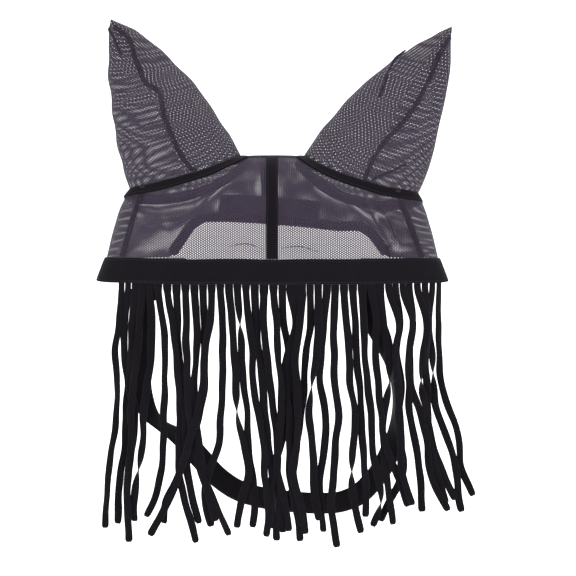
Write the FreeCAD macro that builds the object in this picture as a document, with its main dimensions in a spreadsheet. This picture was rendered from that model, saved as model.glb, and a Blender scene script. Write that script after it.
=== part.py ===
import FreeCAD, Part
import Sketcher
import math
import os

# A full-size horse's fly mask: a mesh bonnet with two ear pockets, a fringed browband and an elastic
# throat strap, standing as it is worn. Millimetres. +Z is up, the forehead side looks along -Y, and
# left and right are as someone who faces the forehead side sees them, with +X to the right. The
# origin is the middle of the poll crest, where the bonnet sits on the head between the ears.

DRIVING_SIZES = (
    ("band_half_width", 196.0, "browband, half its width across the outer face"),
    ("band_half_depth", 52.0, "browband, half its depth from forehead to nape"),
    ("band_lean", 11.0, "browband, how far each side leans in from its foot to its top"),
    ("band_height", 28.0, "browband, top edge to bottom edge"),
    ("band_face_wall", 1.3, "browband face tape, thickness"),
    ("band_lining_wall", 0.9, "browband lining tape, thickness"),
    ("band_end", 100.0, "browband, distance of each rear end from the middle"),
    ("crown_drop", 112.0, "poll crest down to the browband's top edge"),
    ("crown_inset", 0.8, "crown mesh, set in from the browband's outer face"),
    ("crest_half_length", 30.0, "poll crest, half its length between the ears"),
    ("mesh_wall", 0.8, "stand-in thickness of the mesh"),
    ("trim_wall", 1.2, "tape or seam standing out from the mesh"),
    ("lining_wall", 1.0, "binding turned in under the mesh"),
    ("tape_width", 13.0, "centre tape, width"),
    ("rear_tape_x", -7.0, "rear centre tape, its middle"),
    ("seam_width", 8.0, "side seam allowance, width"),
    ("seam_top_inset", 14.0, "side seam, in from the crown's outline at the ear"),
    ("seam_foot_inset", 17.0, "side seam, in from the browband's top edge at the side"),
    ("poll_seam_drop", 6.0, "crest seam, how far it reaches down each face"),
    ("binding_width", 12.0, "ear and nape bindings, width"),
    ("nape_top_drop", 82.0, "poll crest down to the top of the nape opening"),
    ("nape_overlap", 6.0, "nape opening, past the browband's rear ends at its foot"),
    ("nape_flare", 16.0, "nape opening, drawn in on each side at its top"),
    ("nape_shift", 9.0, "nape opening, its middle along X"),
    ("patch_width", 116.0, "poll patch, width"),
    ("patch_height", 23.0, "poll patch, height"),
    ("patch_x", -3.5, "poll patch, its middle along X"),
    ("socket_tilt", 9.5, "ear sockets, fall towards the nape in degrees"),
    ("socket_crest_gap", 4.0, "ear sockets, their inner ends beyond the crest's ends"),
    ("left_socket_drop", 37.0, "left ear socket, poll crest down to its outer end"),
    ("left_socket_dip", 8.0, "left ear socket, how far it dips between its ends"),
    ("right_socket_drop", 42.0, "right ear socket, poll crest down to its outer end"),
    ("right_socket_dip", 10.0, "right ear socket, how far it dips between its ends"),
    ("left_cuff_inset", 1.0, "left ear, in from the crown's outline at the socket"),
    ("right_cuff_inset", 11.0, "right ear, in from the crown's outline at the socket"),
    ("ear_half_depth", 28.0, "ear pockets, half their depth at the socket"),
    ("ear_tip_half_depth", 3.0, "ear pockets, half their depth at the tip"),
    ("ear_seam_width", 6.0, "ear seam, width"),
    ("ear_fold_height", 30.0, "ear fold line, height above the socket"),
    ("ear_fold_angle", 32.0, "ear pocket foot, slope that leaves room to fold"),
    ("fringe_length", 268.0, "fringe strands, usual length"),
    ("fringe_gap", 0.8, "fringe, gap under the browband"),
    ("strand_wall", 0.9, "fringe strand, thickness"),
    ("strand_slit", 1.4, "fringe, slit between two strands at the top"),
    ("strand_taper", 1.0, "fringe strand, how much narrower at the tip than at the top"),
    ("fringe_left_inset", 25.0, "fringe, its left end in from the browband's side"),
    ("fringe_right_inset", 10.0, "fringe, its right end in from the browband's side"),
    ("strap_width", 25.0, "throat strap, width"),
    ("strap_wall", 1.6, "throat strap, thickness"),
    ("strap_left_inset", 49.0, "throat strap, left anchor in from the browband's side"),
    ("strap_right_inset", 80.5, "throat strap, right anchor in from the browband's side"),
    ("strap_swing_inset", 16.5, "throat strap, swing line in from the browband's rear"),
    ("strap_start_drop", 10.0, "throat strap, browband to the top of its left end"),
    ("strap_anchor_height", 20.0, "throat strap, length sewn inside the browband"),
    ("strap_tab_length", 24.0, "throat strap, left tab below the browband"),
    ("closure_tab_length", 58.0, "throat strap, right tab below the browband"),
    ("strap_drop", 250.0, "throat strap, browband to the lowest point of its middle line"),
    ("strap_corner_radius", 62.0, "throat strap, radius of its lower corners"),
    ("closure_wall", 0.9, "hook and loop patches, thickness"),
    ("closure_length", 40.0, "hook and loop patches, length"),
    ("closure_gap", 0.3, "clearance between the closed hook and loop patches"),
)

# Each ear's outline in the front view, as runs in X and Z: the outer edge from its foot to the tip,
# the blunt tip from the outer to the inner edge, and how far each edge bows out at its middle. The
# seam runs from a share of the tip's width to a share of the foot's width.
EARS = {
    "left": {
        "outer_run": (-17.0, 181.0),
        "tip_run": (23.0, -9.0),
        "outer_bow": (-7.0, 1.0),
        "inner_bow": (7.5, 6.5),
        "seam": (0.25, 0.58),
    },
    "right": {
        "outer_run": (45.5, 177.0),
        "tip_run": (-15.0, -4.0),
        "outer_bow": (6.0, 0.0),
        "inner_bow": (-3.5, 4.0),
        "seam": (0.30, 0.42),
    },
}

# The fringe, from left to right: each lock's drift sideways at the tips, and how much longer or
# shorter than usual each of its strands was cut.
LOCKS = (
    ("fringe_lock_01", -13.0, (4.0, -6.0, 14.0, -4.0)),
    ("fringe_lock_02", -3.0, (10.0, -12.0, -2.0, 6.0)),
    ("fringe_lock_03", 1.0, (14.0, 18.0, -4.0, -2.0)),
    ("fringe_lock_04", -1.0, (6.0, 8.0, -1.0, 4.0)),
    ("fringe_lock_05", 1.0, (-3.0, 12.0, 16.0, 6.0)),
    ("fringe_lock_06", 0.0, (2.0, 14.0, 4.0, 8.0)),
    ("fringe_lock_07", 2.0, (5.0, 20.0, -4.0, 10.0)),
    ("fringe_lock_08", 3.0, (3.0, 6.0, -5.0, 1.0)),
    ("fringe_lock_09", 9.0, (-2.0, -8.0, -18.0, -6.0)),
    ("fringe_lock_10", 30.0, (-12.0, -6.0, -16.0, -8.0)),
)

# Level sections of the crown: the share of the way up from the browband to the crest, and the share
# of the way out from the crest's end to the browband's side. The sides lean in, then round over.
CROWN_SECTIONS = ((0, 1), (0.3, 0.945), (0.58, 0.868), (0.72, 0.79), (0.84, 0.62), (0.94, 0.363), (0.985, 0.17))
# Sections of an ear, as shares of the way from the socket to the tip.
EAR_RISE = (-0.14, 0.12, 0.36, 0.60, 0.82, 1.0)
BIG = 300.0  # half the size of the blocks that only divide space

doc = FreeCAD.newDocument("FlyMask")
sheet = doc.addObject("Spreadsheet::Sheet", "dims")


def fill_sheet():
    """Writes the driving sizes into the sheet, one row each."""
    for row, (alias, value, meaning) in enumerate(DRIVING_SIZES, start=1):
        sheet.set(f"A{row}", meaning)
        sheet.set(f"B{row}", str(value))
        sheet.setAlias(f"B{row}", alias)
    doc.recompute()


def size(alias):
    """One driving size, as a number."""
    return float(sheet.get(alias))


def add(kind, name, **expressions):
    """A document object whose properties follow the sheet. A double underscore stands for a dot."""
    made = doc.addObject(kind, name)
    for prop, text in expressions.items():
        made.setExpression(prop.replace("__", "."), text)
    return made


def cut(name, base, tool):
    made = add("Part::Cut", name)
    made.Base = base
    made.Tool = tool
    return made


def common(name, *shapes):
    made = add("Part::MultiCommon", name)
    made.Shapes = list(shapes)
    return made


def fuse(name, *shapes):
    made = add("Part::MultiFuse", name)
    made.Shapes = list(shapes)
    return made


def block(name, low, high):
    """A box from its low corner to its high corner, each given as three expressions."""
    spans = [f"({high[k]}) - ({low[k]})" for k in range(3)]
    return add(
        "Part::Box",
        name,
        Length=spans[0],
        Width=spans[1],
        Height=spans[2],
        Placement__Base__x=low[0],
        Placement__Base__y=low[1],
        Placement__Base__z=low[2],
    )


def loft(name, sections):
    made = add("Part::Loft", name)
    made.Sections = sections
    made.Solid = True
    made.Ruled = False
    return made


# ---- the crown and the browband -------------------------------------------------------------


def crown(name, grow, side):
    """The crown's closed form, grown outwards by an expression. Its level sections are ellipses
    that draw in towards the crest, at front and back as a quarter circle does.
    Each ellipse starts on the far side, which keeps the form's own seam line off the given side."""
    sections = []
    turn = FreeCAD.Rotation(FreeCAD.Vector(0, 0, 1), 180 if side == "right" else 0)
    for number, (rise, across) in enumerate(CROWN_SECTIONS):
        deep = math.sqrt(1 - rise**2)
        top = 1 if number == len(CROWN_SECTIONS) - 1 else 0
        half = "dims.band_half_width - dims.band_lean - dims.crown_inset"
        section = add(
            "Part::Ellipse",
            f"{name}_{number}",
            MajorRadius=f"dims.crest_half_length + ({half} - dims.crest_half_length) * {across}"
            f" + ({grow})",
            MinorRadius=f"(dims.band_half_depth - dims.crown_inset) * {deep} + ({grow})",
        )
        section.Placement = FreeCAD.Placement(FreeCAD.Vector(), turn)
        section.setExpression("Placement.Base.z", f"-dims.crown_drop * {1 - rise} + ({grow}) * {top}")
        sections.append(section)
    return loft(name, sections)


def ring_wall(name, inset):
    """The browband's closed form, an elliptic block a little narrower at its top, whose wall is set
    in by an expression."""
    sections = []
    for end, level, lean in (("top", "0", "dims.band_lean"), ("foot", "dims.band_height", "0")):
        sections.append(
            add(
                "Part::Ellipse",
                f"{name}_{end}",
                MajorRadius=f"dims.band_half_width - ({lean}) - ({inset})",
                MinorRadius=f"dims.band_half_depth - ({inset})",
                Placement__Base__z=f"-dims.crown_drop - {level}",
            )
        )
    return loft(name, sections)


def browband():
    """Face and lining tapes, open at the nape."""
    face_wall = "dims.band_face_wall"
    both_walls = "dims.band_face_wall + dims.band_lining_wall"
    outside = ring_wall("band_outside", "0")
    between = ring_wall("band_between", face_wall)
    inside = ring_wall("band_inside", both_walls)
    gap = block(
        "band_gap",
        ("-dims.band_end", "0", "-dims.crown_drop - dims.band_height - 1"),
        ("dims.band_end", "dims.band_half_depth + 1", "-dims.crown_drop + 1"),
    )
    face = cut("browband_face", cut("band_face_ring", outside, between), gap)
    lining = cut("browband_lining", cut("band_lining_ring", between, inside), gap)
    return [face, lining], inside


def crown_foot():
    """Half the crown's width where it meets the browband."""
    return size("band_half_width") - size("band_lean") - size("crown_inset")


def crown_half_width(drop):
    """Half the crown's width at a distance below the crest."""
    rise = 1 - drop / size("crown_drop")
    ends = [k for k in range(1, len(CROWN_SECTIONS)) if CROWN_SECTIONS[k][0] >= rise]
    (low, low_across), (high, high_across) = CROWN_SECTIONS[ends[0] - 1], CROWN_SECTIONS[ends[0]]
    across = low_across + (high_across - low_across) * (rise - low) / (high - low)
    crest = size("crest_half_length")
    return crest + (crown_foot() - crest) * across


def socket_ends(side):
    """The outer and inner ends of an ear's socket in the front view, as (x, z)."""
    sign = -1 if side == "left" else 1
    drop = size(f"{side}_socket_drop")
    outer = (sign * (crown_half_width(drop) - size(f"{side}_cuff_inset")), -drop)
    inner = (sign * (size("crest_half_length") + size("socket_crest_gap")), 0.0)
    return outer, inner


def socket_zone(side, name, extra):
    """The space above an ear's socket: the inside of a wide cylinder that passes through the
    socket's ends, dips between them, and falls towards the nape."""
    outer, inner = socket_ends(side)
    half = math.hypot(outer[0] - inner[0], outer[1] - inner[1]) / 2
    dip = size(f"{side}_socket_dip")
    radius = (half**2 + dip**2) / (2 * dip)
    left, right = (outer, inner) if side == "left" else (inner, outer)
    slope = math.atan2(right[1] - left[1], right[0] - left[0])
    middle = FreeCAD.Vector(
        (outer[0] + inner[0]) / 2 - math.sin(slope) * (radius - dip),
        0,
        (outer[1] + inner[1]) / 2 + math.cos(slope) * (radius - dip),
    )
    made = add("Part::Cylinder", name, Radius=f"{radius} + ({extra})", Height=f"{2 * BIG}")
    tilt = math.radians(size("socket_tilt"))
    along = FreeCAD.Vector(0, math.cos(tilt), -math.sin(tilt))
    turn = FreeCAD.Rotation(FreeCAD.Vector(0, 0, 1), along)
    made.Placement = FreeCAD.Placement(middle - along * BIG, turn)
    return made


def leaning_block(name, top, foot, half_width_alias, front_only=True):
    """A slab along a line in the front view, from top to foot as (x, z), cut through the depth."""
    top_point = FreeCAD.Vector(top[0], 0, top[1])
    down = FreeCAD.Vector(foot[0] - top[0], 0, foot[1] - top[1])
    made = add(
        "Part::Box",
        name,
        Length=f"2 * dims.{half_width_alias}",
        Width="dims.band_half_depth + 10" if front_only else "2 * (dims.band_half_depth + 10)",
        Height=f"{down.Length}",
    )
    lean = math.degrees(math.atan2(-down.x, -down.z))
    turn = FreeCAD.Rotation(FreeCAD.Vector(0, 1, 0), lean)
    corner = FreeCAD.Vector(-size(half_width_alias), -size("band_half_depth") - 10, -down.Length)
    made.Placement = FreeCAD.Placement(top_point + turn.multVec(corner), turn)
    return made


def upright(made, x, z, tilt=0.0):
    """Stands a wedge up: its own Y becomes Z, and its own Z becomes the depth."""
    turn = FreeCAD.Rotation(FreeCAD.Vector(0, 1, 0), tilt) * FreeCAD.Rotation(FreeCAD.Vector(1, 0, 0), 90)
    made.Placement = FreeCAD.Placement(FreeCAD.Vector(x, 0, z), turn)
    return made


def trapezoid(name, foot_half, top_half, drop, rise, depth_low, depth_high):
    """An upright prism with a wide foot and a narrow top, each size an expression. Its depth is
    measured towards the forehead, so the nape side is negative."""
    made = add(
        "Part::Wedge",
        name,
        Xmin=f"-({foot_half})",
        Xmax=f"{foot_half}",
        X2min=f"-({top_half})",
        X2max=f"{top_half}",
        Ymin=drop,
        Ymax=rise,
        Zmin=depth_low,
        Zmax=depth_high,
        Z2min=depth_low,
        Z2max=depth_high,
    )
    return made


def bonnet():
    """The mesh panels and everything sewn to them."""
    mesh = {}
    trim = {}
    folded = {}
    for side in ("left", "right"):
        mesh_out = crown(f"{side}_mesh_out", "0", side)
        mesh_in = crown(f"{side}_mesh_in", "-dims.mesh_wall", side)
        trim_out = crown(f"{side}_trim_out", "dims.trim_wall", side)
        trim_in = crown(f"{side}_trim_in", "-dims.mesh_wall - dims.lining_wall", side)
        mesh[side] = cut(f"{side}_mesh_shell", mesh_out, mesh_in)
        trim[side] = cut(f"{side}_trim_shell", trim_out, mesh_out)
        folded[side] = cut(f"{side}_folded_shell", trim_out, trim_in)

    above = {}
    around = {}
    for side in ("left", "right"):
        above[side] = socket_zone(side, f"{side}_socket", "0")
        around[side] = socket_zone(side, f"{side}_socket_rim", "dims.binding_width")
    rims = fuse("socket_rims", around["left"], around["right"])

    # The forehead panels end at the side seams; the nape panels wrap round to meet them.
    seam_drop = size("left_socket_drop")
    seam_foot = size("band_half_width") - size("band_lean") - size("seam_foot_inset")
    seam_top = crown_half_width(seam_drop) - size("seam_top_inset")
    seam_slope = (seam_foot - seam_top) / (size("crown_drop") - seam_drop)
    front_prism = trapezoid(
        "forehead_prism",
        "dims.band_half_width - dims.band_lean - dims.seam_foot_inset",
        f"{seam_top - seam_drop * seam_slope}",
        "-dims.crown_drop - 1",
        "2",
        "0",
        "dims.band_half_depth + 10",
    )
    upright(front_prism, 0, 0)

    binding = "dims.binding_width"
    nape_foot = "dims.band_end + dims.nape_overlap"
    nape_outer = trapezoid(
        "nape_outer",
        f"{nape_foot} + {binding}",
        f"{nape_foot} - dims.nape_flare + {binding}",
        "-dims.crown_drop - 20",
        f"-dims.nape_top_drop + {binding}",
        "-dims.band_half_depth - 10",
        "0",
    )
    nape_inner = trapezoid(
        "nape_inner",
        nape_foot,
        f"{nape_foot} - dims.nape_flare",
        "-dims.crown_drop - 21",
        "-dims.nape_top_drop",
        "-dims.band_half_depth - 11",
        "1",
    )
    for prism in (nape_outer, nape_inner):
        upright(prism, size("nape_shift"), 0)

    reach = f"{BIG}"
    halves = {
        "left": block("left_half", (f"-{reach}", f"-{reach}", f"-{reach}"), ("0", reach, reach)),
        "right": block("right_half", ("0", f"-{reach}", f"-{reach}"), (reach, reach, reach)),
    }
    pieces = []
    for side, half in halves.items():
        opened = cut(f"{side}_mesh_opened", common(f"{side}_mesh_half", mesh[side], half), around[side])
        arched = cut(f"{side}_mesh_arched", opened, nape_outer)
        pieces.append(common(f"front_mesh_{side}", opened, front_prism))
        pieces.append(cut(f"rear_mesh_{side}", arched, front_prism))

    # Bindings round the sockets, both turned over the mesh.
    for side in ("left", "right"):
        rim = cut(f"{side}_socket_band", around[side], above[side])
        pieces.append(common(f"ear_{side}_binding", folded[side], rim))

    # The nape hem, folded over the mesh, down to the browband.
    hem_frame = cut("hem_frame", nape_outer, nape_inner)
    pieces.append(common("rear_hem", folded["left"], hem_frame))

    # Tapes and seams lie on the mesh.
    crest_low = "-dims.poll_seam_drop"
    crest = block("crest_zone", (f"-{reach}", f"-{reach}", crest_low), (reach, reach, reach))
    pieces.append(cut("poll_seam", common("poll_seam_long", trim["left"], crest), rims))
    front_strip = block(
        "front_tape_zone",
        ("-dims.tape_width / 2", f"-{reach}", "-dims.crown_drop - 1"),
        ("dims.tape_width / 2", "0", crest_low),
    )
    front_tape = common("front_tape_long", trim["left"], front_strip)
    pieces.append(cut("front_centre_tape", front_tape, rims))
    patch_low = f"-dims.nape_top_drop + {binding} + 0.3"
    patch_top = f"{patch_low} + dims.patch_height"
    rear_strip = block(
        "rear_tape_zone",
        ("dims.rear_tape_x - dims.tape_width / 2", "0", patch_top),
        ("dims.rear_tape_x + dims.tape_width / 2", reach, crest_low),
    )
    rear_tape = common("rear_tape_long", trim["left"], rear_strip)
    pieces.append(cut("rear_centre_tape", rear_tape, rims))
    patch_zone = block(
        "patch_zone",
        ("dims.patch_x - dims.patch_width / 2", "0", patch_low),
        ("dims.patch_x + dims.patch_width / 2", reach, patch_top),
    )
    pieces.append(common("poll_patch", trim["left"], patch_zone))
    for side, sign in (("left", -1), ("right", 1)):
        # run a little past both ends of the seam, and let the rim and the browband stop it
        overrun = 20
        top = (sign * (seam_top - overrun * seam_slope), overrun - seam_drop)
        foot = (sign * (seam_foot + overrun * seam_slope), -size("crown_drop") - overrun)
        slab = leaning_block(f"{side}_seam_zone", top, foot, "seam_width")
        slab.setExpression("Length", "dims.seam_width")
        pieces.append(cut(f"side_seam_{side}", common(f"{side}_seam_long", trim[side], slab), rims))
    return pieces, above


# ---- the ears -------------------------------------------------------------------------------


def ear_corners(side):
    """The ear's outer foot, inner foot, outer tip and inner tip in the front view."""
    outer_foot, inner_foot = socket_ends(side)
    outer_run = EARS[side]["outer_run"]
    tip_run = EARS[side]["tip_run"]
    outer_tip = tuple(outer_foot[k] + outer_run[k] for k in (0, 1))
    inner_tip = tuple(outer_tip[k] + tip_run[k] for k in (0, 1))
    return outer_foot, inner_foot, outer_tip, inner_tip


def edge_point(foot, tip, bow, rise):
    """A point of an ear's edge in the front view: a straight run plus a bow, widest at half way."""
    return tuple(foot[k] + (tip[k] - foot[k]) * rise + 4 * rise * (1 - rise) * bow[k] for k in (0, 1))


def between(a, b, share):
    return tuple(a[k] + (b[k] - a[k]) * share for k in (0, 1))


def ear_form(side, name, grow):
    """An ear pocket's closed form, grown outwards by an expression."""
    sections = []
    outer_foot, inner_foot, outer_tip, inner_tip = ear_corners(side)
    for number, rise in enumerate(EAR_RISE):
        outer = edge_point(outer_foot, outer_tip, EARS[side]["outer_bow"], rise)
        inner = edge_point(inner_foot, inner_tip, EARS[side]["inner_bow"], rise)
        low, high = (outer, inner) if side == "left" else (inner, outer)
        span = math.hypot(high[0] - low[0], high[1] - low[1])
        slope = math.degrees(math.atan2(high[1] - low[1], high[0] - low[0]))
        deep = (1 - max(rise, 0)) ** 0.8
        section = add(
            "Part::Ellipse",
            f"{name}_{number}",
            MajorRadius=f"{span / 2} + ({grow})",
            MinorRadius=f"dims.ear_tip_half_depth + (dims.ear_half_depth - dims.ear_tip_half_depth)"
            f" * {deep} + ({grow})",
        )
        section.Placement = FreeCAD.Placement(
            FreeCAD.Vector((low[0] + high[0]) / 2, 0, (low[1] + high[1]) / 2),
            FreeCAD.Rotation(FreeCAD.Vector(0, 1, 0), -slope),
        )
        sections.append(section)
    return loft(name, sections)


def fold_frame(side):
    """The ear's fold line: a point in the middle of the ear and the turn that lays X along it."""
    outer, inner = socket_ends(side)
    low, high = (outer, inner) if side == "left" else (inner, outer)
    slope = math.atan2(high[1] - low[1], high[0] - low[0])
    lift = size("ear_fold_height")
    middle = FreeCAD.Vector(
        (low[0] + high[0]) / 2 - math.sin(slope) * lift,
        0,
        (low[1] + high[1]) / 2 + math.cos(slope) * lift,
    )
    return middle, FreeCAD.Rotation(FreeCAD.Vector(0, 1, 0), -math.degrees(slope))


def under_fold(side, name, angle, sink):
    """A block under the fold line, turned about it by an angle and sunk by a distance."""
    middle, turn = fold_frame(side)
    made = add("Part::Box", name, Length=f"{2 * BIG}", Width=f"{2 * BIG}", Height=f"{BIG}")
    turn = turn * FreeCAD.Rotation(FreeCAD.Vector(1, 0, 0), angle)
    corner = FreeCAD.Vector(-BIG, -BIG, -BIG - sink)
    made.Placement = FreeCAD.Placement(middle + turn.multVec(corner), turn)
    return made


def ear(side, above):
    """One ear: the fixed cuff at its socket, the pocket that folds over it, and the pocket's seam."""
    outside = ear_form(side, f"{side}_ear_out", "0")
    inside = ear_form(side, f"{side}_ear_in", "-dims.mesh_wall")
    seam_out = ear_form(side, f"{side}_ear_seam_out", "dims.trim_wall")
    whole = common(f"{side}_ear_whole", cut(f"{side}_ear_shell", outside, inside), above)
    cuff_zone = under_fold(side, f"{side}_cuff_zone", 0, 0.6)
    cuff = common(f"ear_{side}_cuff", whole, cuff_zone)
    slope = size("ear_fold_angle")
    foot = fuse(
        f"{side}_pocket_foot",
        under_fold(side, f"{side}_foot_front", slope, 0),
        under_fold(side, f"{side}_foot_rear", -slope, 0),
    )
    pocket = cut(f"ear_{side}_pocket", whole, foot)
    outer_foot, inner_foot, outer_tip, inner_tip = ear_corners(side)
    tip_share, foot_share = EARS[side]["seam"]
    top = between(outer_tip, inner_tip, tip_share)
    low = between(outer_foot, inner_foot, foot_share)
    strip = leaning_block(f"{side}_ear_seam_zone", top, low, "ear_seam_width")
    strip.setExpression("Length", "dims.ear_seam_width")
    seam_shell = cut(f"{side}_ear_seam_shell", seam_out, outside)
    seam = cut(f"ear_{side}_seam", common(f"{side}_ear_seam_long", seam_shell, strip), foot)
    return [cuff, pocket, seam]


# ---- the fringe -----------------------------------------------------------------------------


def front_point(x):
    """Depth and outward direction of the browband's middle wall at a place along X."""
    wall = (size("band_face_wall") + size("band_lining_wall")) / 2
    half_width = size("band_half_width") - wall
    half_depth = size("band_half_depth") - wall
    depth = -half_depth * math.sqrt(1 - (x / half_width) ** 2)
    outward = FreeCAD.Vector(x / half_width**2, depth / half_depth**2, 0)
    return depth, outward.normalize()


def strand_places(count):
    """Middles of the strands, evenly spaced along the browband's front."""
    start = size("fringe_left_inset") - size("band_half_width")
    end = size("band_half_width") - size("fringe_right_inset")
    fine = [start + (end - start) * k / 2000 for k in range(2001)]
    walked = [0.0]
    for a, b in zip(fine, fine[1:]):
        walked.append(walked[-1] + math.hypot(b - a, front_point(b)[0] - front_point(a)[0]))
    places = []
    for k in range(count):
        target = walked[-1] * (k + 0.5) / count
        nearest = min(range(len(walked)), key=lambda i: abs(walked[i] - target))
        places.append(fine[nearest])
    return places


def fringe():
    """The locks: each hangs flat in the browband's tangent plane, from its own swing line."""
    strands_each = len(LOCKS[0][2])
    places = strand_places(strands_each * len(LOCKS))
    locks = []
    for number, (name, drift, lengths) in enumerate(LOCKS):
        own = places[number * strands_each : (number + 1) * strands_each]
        middle_x = (own[0] + own[-1]) / 2
        depth, outward = front_point(middle_x)
        turn = FreeCAD.Rotation(FreeCAD.Vector(0, -1, 0), outward)
        along = turn.multVec(FreeCAD.Vector(1, 0, 0))
        pitch = (own[-1] - own[0]) / along.x / (strands_each - 1)
        half = f"({pitch} - dims.strand_slit) / 2"
        half_tip = f"({pitch} - dims.strand_slit - dims.strand_taper) / 2"
        strands = []
        for k, longer in enumerate(lengths):
            across = pitch * (k - (strands_each - 1) / 2)
            at_tip = across * 0.93 + drift
            strand = add(
                "Part::Wedge",
                f"{name}_strand_{k + 1}",
                Xmin=f"{across} - {half}",
                Xmax=f"{across} + {half}",
                X2min=f"{at_tip} - {half_tip}",
                X2max=f"{at_tip} + {half_tip}",
                Ymin="0",
                Ymax=f"dims.fringe_length + {longer}",
                Zmin="-dims.strand_wall / 2",
                Zmax="dims.strand_wall / 2",
                Z2min="-dims.strand_wall / 2",
                Z2max="dims.strand_wall / 2",
            )
            # the wedge's own Y hangs down, its Z looks towards the nape
            level = -size("crown_drop") - size("band_height") - size("fringe_gap")
            hang = turn * FreeCAD.Rotation(FreeCAD.Vector(1, 0, 0), -90)
            strand.Placement = FreeCAD.Placement(FreeCAD.Vector(middle_x, depth, level), hang)
            strands.append(strand)
        lock = add("Part::Compound", name)
        lock.Links = strands
        locks.append(lock)
    return locks


# ---- the throat strap -----------------------------------------------------------------------

ANCHOR_X = {
    "left": "dims.strap_left_inset - dims.band_half_width",
    "right": "dims.band_half_width - dims.strap_right_inset",
}
SWING_Y = "dims.band_half_depth - dims.strap_swing_inset"


def strap_anchor(side, band_inside):
    """The end of the strap webbing sewn inside the browband, which it follows."""
    middle = ANCHOR_X[side]
    zone = block(
        f"{side}_anchor_zone",
        (f"{middle} - dims.strap_width / 2", "0", "-dims.crown_drop - dims.band_height"),
        (
            f"{middle} + dims.strap_width / 2",
            "dims.band_half_depth",
            "-dims.crown_drop - dims.band_height + dims.strap_anchor_height",
        ),
    )
    inner = ring_wall(
        f"{side}_anchor_inner", "dims.band_face_wall + dims.band_lining_wall + dims.strap_wall"
    )
    webbing = cut(f"{side}_anchor_ring", band_inside, inner)
    return common(f"strap_anchor_{side}", webbing, zone)


def origin_plane(body, role):
    for feature in body.Origin.OriginFeatures:
        if feature.Role == role:
            return feature
    raise ValueError(f"{body.Label} has no {role}")


def close_outline(sketch, corners):
    """Straight edges through the corners, in turn, held end to end."""
    count = len(corners)
    for k in range(count):
        a = FreeCAD.Vector(*corners[k], 0)
        b = FreeCAD.Vector(*corners[(k + 1) % count], 0)
        sketch.addGeometry(Part.LineSegment(a, b), False)
    for k in range(count):
        sketch.addConstraint(Sketcher.Constraint("Coincident", k, 2, (k + 1) % count, 1))


def flat_tab(name, x, z_top, width, length, wall, depth):
    """A plain rectangular piece of webbing, hanging in the strap's plane: a sketched rectangle held
    by its width and length, padded to its thickness. The last four arguments are expressions."""
    body = doc.addObject("PartDesign::Body", name)
    sketch = body.newObject("Sketcher::SketchObject", f"{name}_outline")
    sketch.AttachmentSupport = [(origin_plane(body, "XZ_Plane"), "")]
    sketch.MapMode = "FlatFace"
    close_outline(sketch, ((-10, 0), (10, 0), (10, -20), (-10, -20)))
    sketch.addConstraint(Sketcher.Constraint("Horizontal", 2))
    sketch.addConstraint(Sketcher.Constraint("Vertical", 1))
    sketch.addConstraint(Sketcher.Constraint("Vertical", 3))
    sketch.addConstraint(Sketcher.Constraint("Symmetric", 0, 1, 0, 2, -2))
    sketch.addConstraint(Sketcher.Constraint("PointOnObject", 0, 1, -1))
    wide = sketch.addConstraint(Sketcher.Constraint("DistanceX", 0, 1, 0, 2, 20))
    tall = sketch.addConstraint(Sketcher.Constraint("DistanceY", 2, 1, 1, 1, 20))
    sketch.setExpression(f"Constraints[{wide}]", width)
    sketch.setExpression(f"Constraints[{tall}]", length)
    doc.recompute()
    pad = body.newObject("PartDesign::Pad", f"{name}_pad")
    pad.Profile = sketch
    pad.setExpression("Length", wall)
    pad.Midplane = True
    body.setExpression("Placement.Base.x", x)
    body.setExpression("Placement.Base.y", depth)
    body.setExpression("Placement.Base.z", z_top)
    return body


def ribbon_outline(points, radius, half_width):
    """The closed outline, in the strap's plane, of a ribbon along a line with rounded corners."""
    places = [FreeCAD.Vector(x, 0, z) for x, z in points]
    ahead = [(b - a).normalize() for a, b in zip(places, places[1:])]
    side = [FreeCAD.Vector(-d.z, 0, d.x) for d in ahead]
    edges = []
    for sign in (1, -1):
        run = []
        start = places[0] + side[0] * (sign * half_width)
        for k in range(1, len(places) - 1):
            turn = ahead[k - 1].getAngle(ahead[k])
            back = radius * math.tan(turn / 2)
            a = places[k] - ahead[k - 1] * back + side[k - 1] * (sign * half_width)
            b = places[k] + ahead[k] * back + side[k] * (sign * half_width)
            bends_to = side[k - 1] if ahead[k].dot(side[k - 1]) > 0 else side[k - 1] * -1
            centre = places[k] - ahead[k - 1] * back + bends_to * radius
            out = (a - centre).normalize() + (b - centre).normalize()
            middle = centre + out.normalize() * (a - centre).Length
            run.append(Part.LineSegment(start, a).toShape())
            run.append(Part.Arc(a, middle, b).toShape())
            start = b
        end = places[-1] + side[-1] * (sign * half_width)
        run.append(Part.LineSegment(start, end).toShape())
        edges += run if sign == 1 else run[::-1]
        if sign == 1:
            other = places[-1] - side[-1] * half_width
            edges.append(Part.LineSegment(end, other).toShape())
    first = places[0] + side[0] * half_width
    last = places[0] - side[0] * half_width
    edges.append(Part.LineSegment(last, first).toShape())
    return Part.Wire(Part.__sortEdges__(edges))


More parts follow.
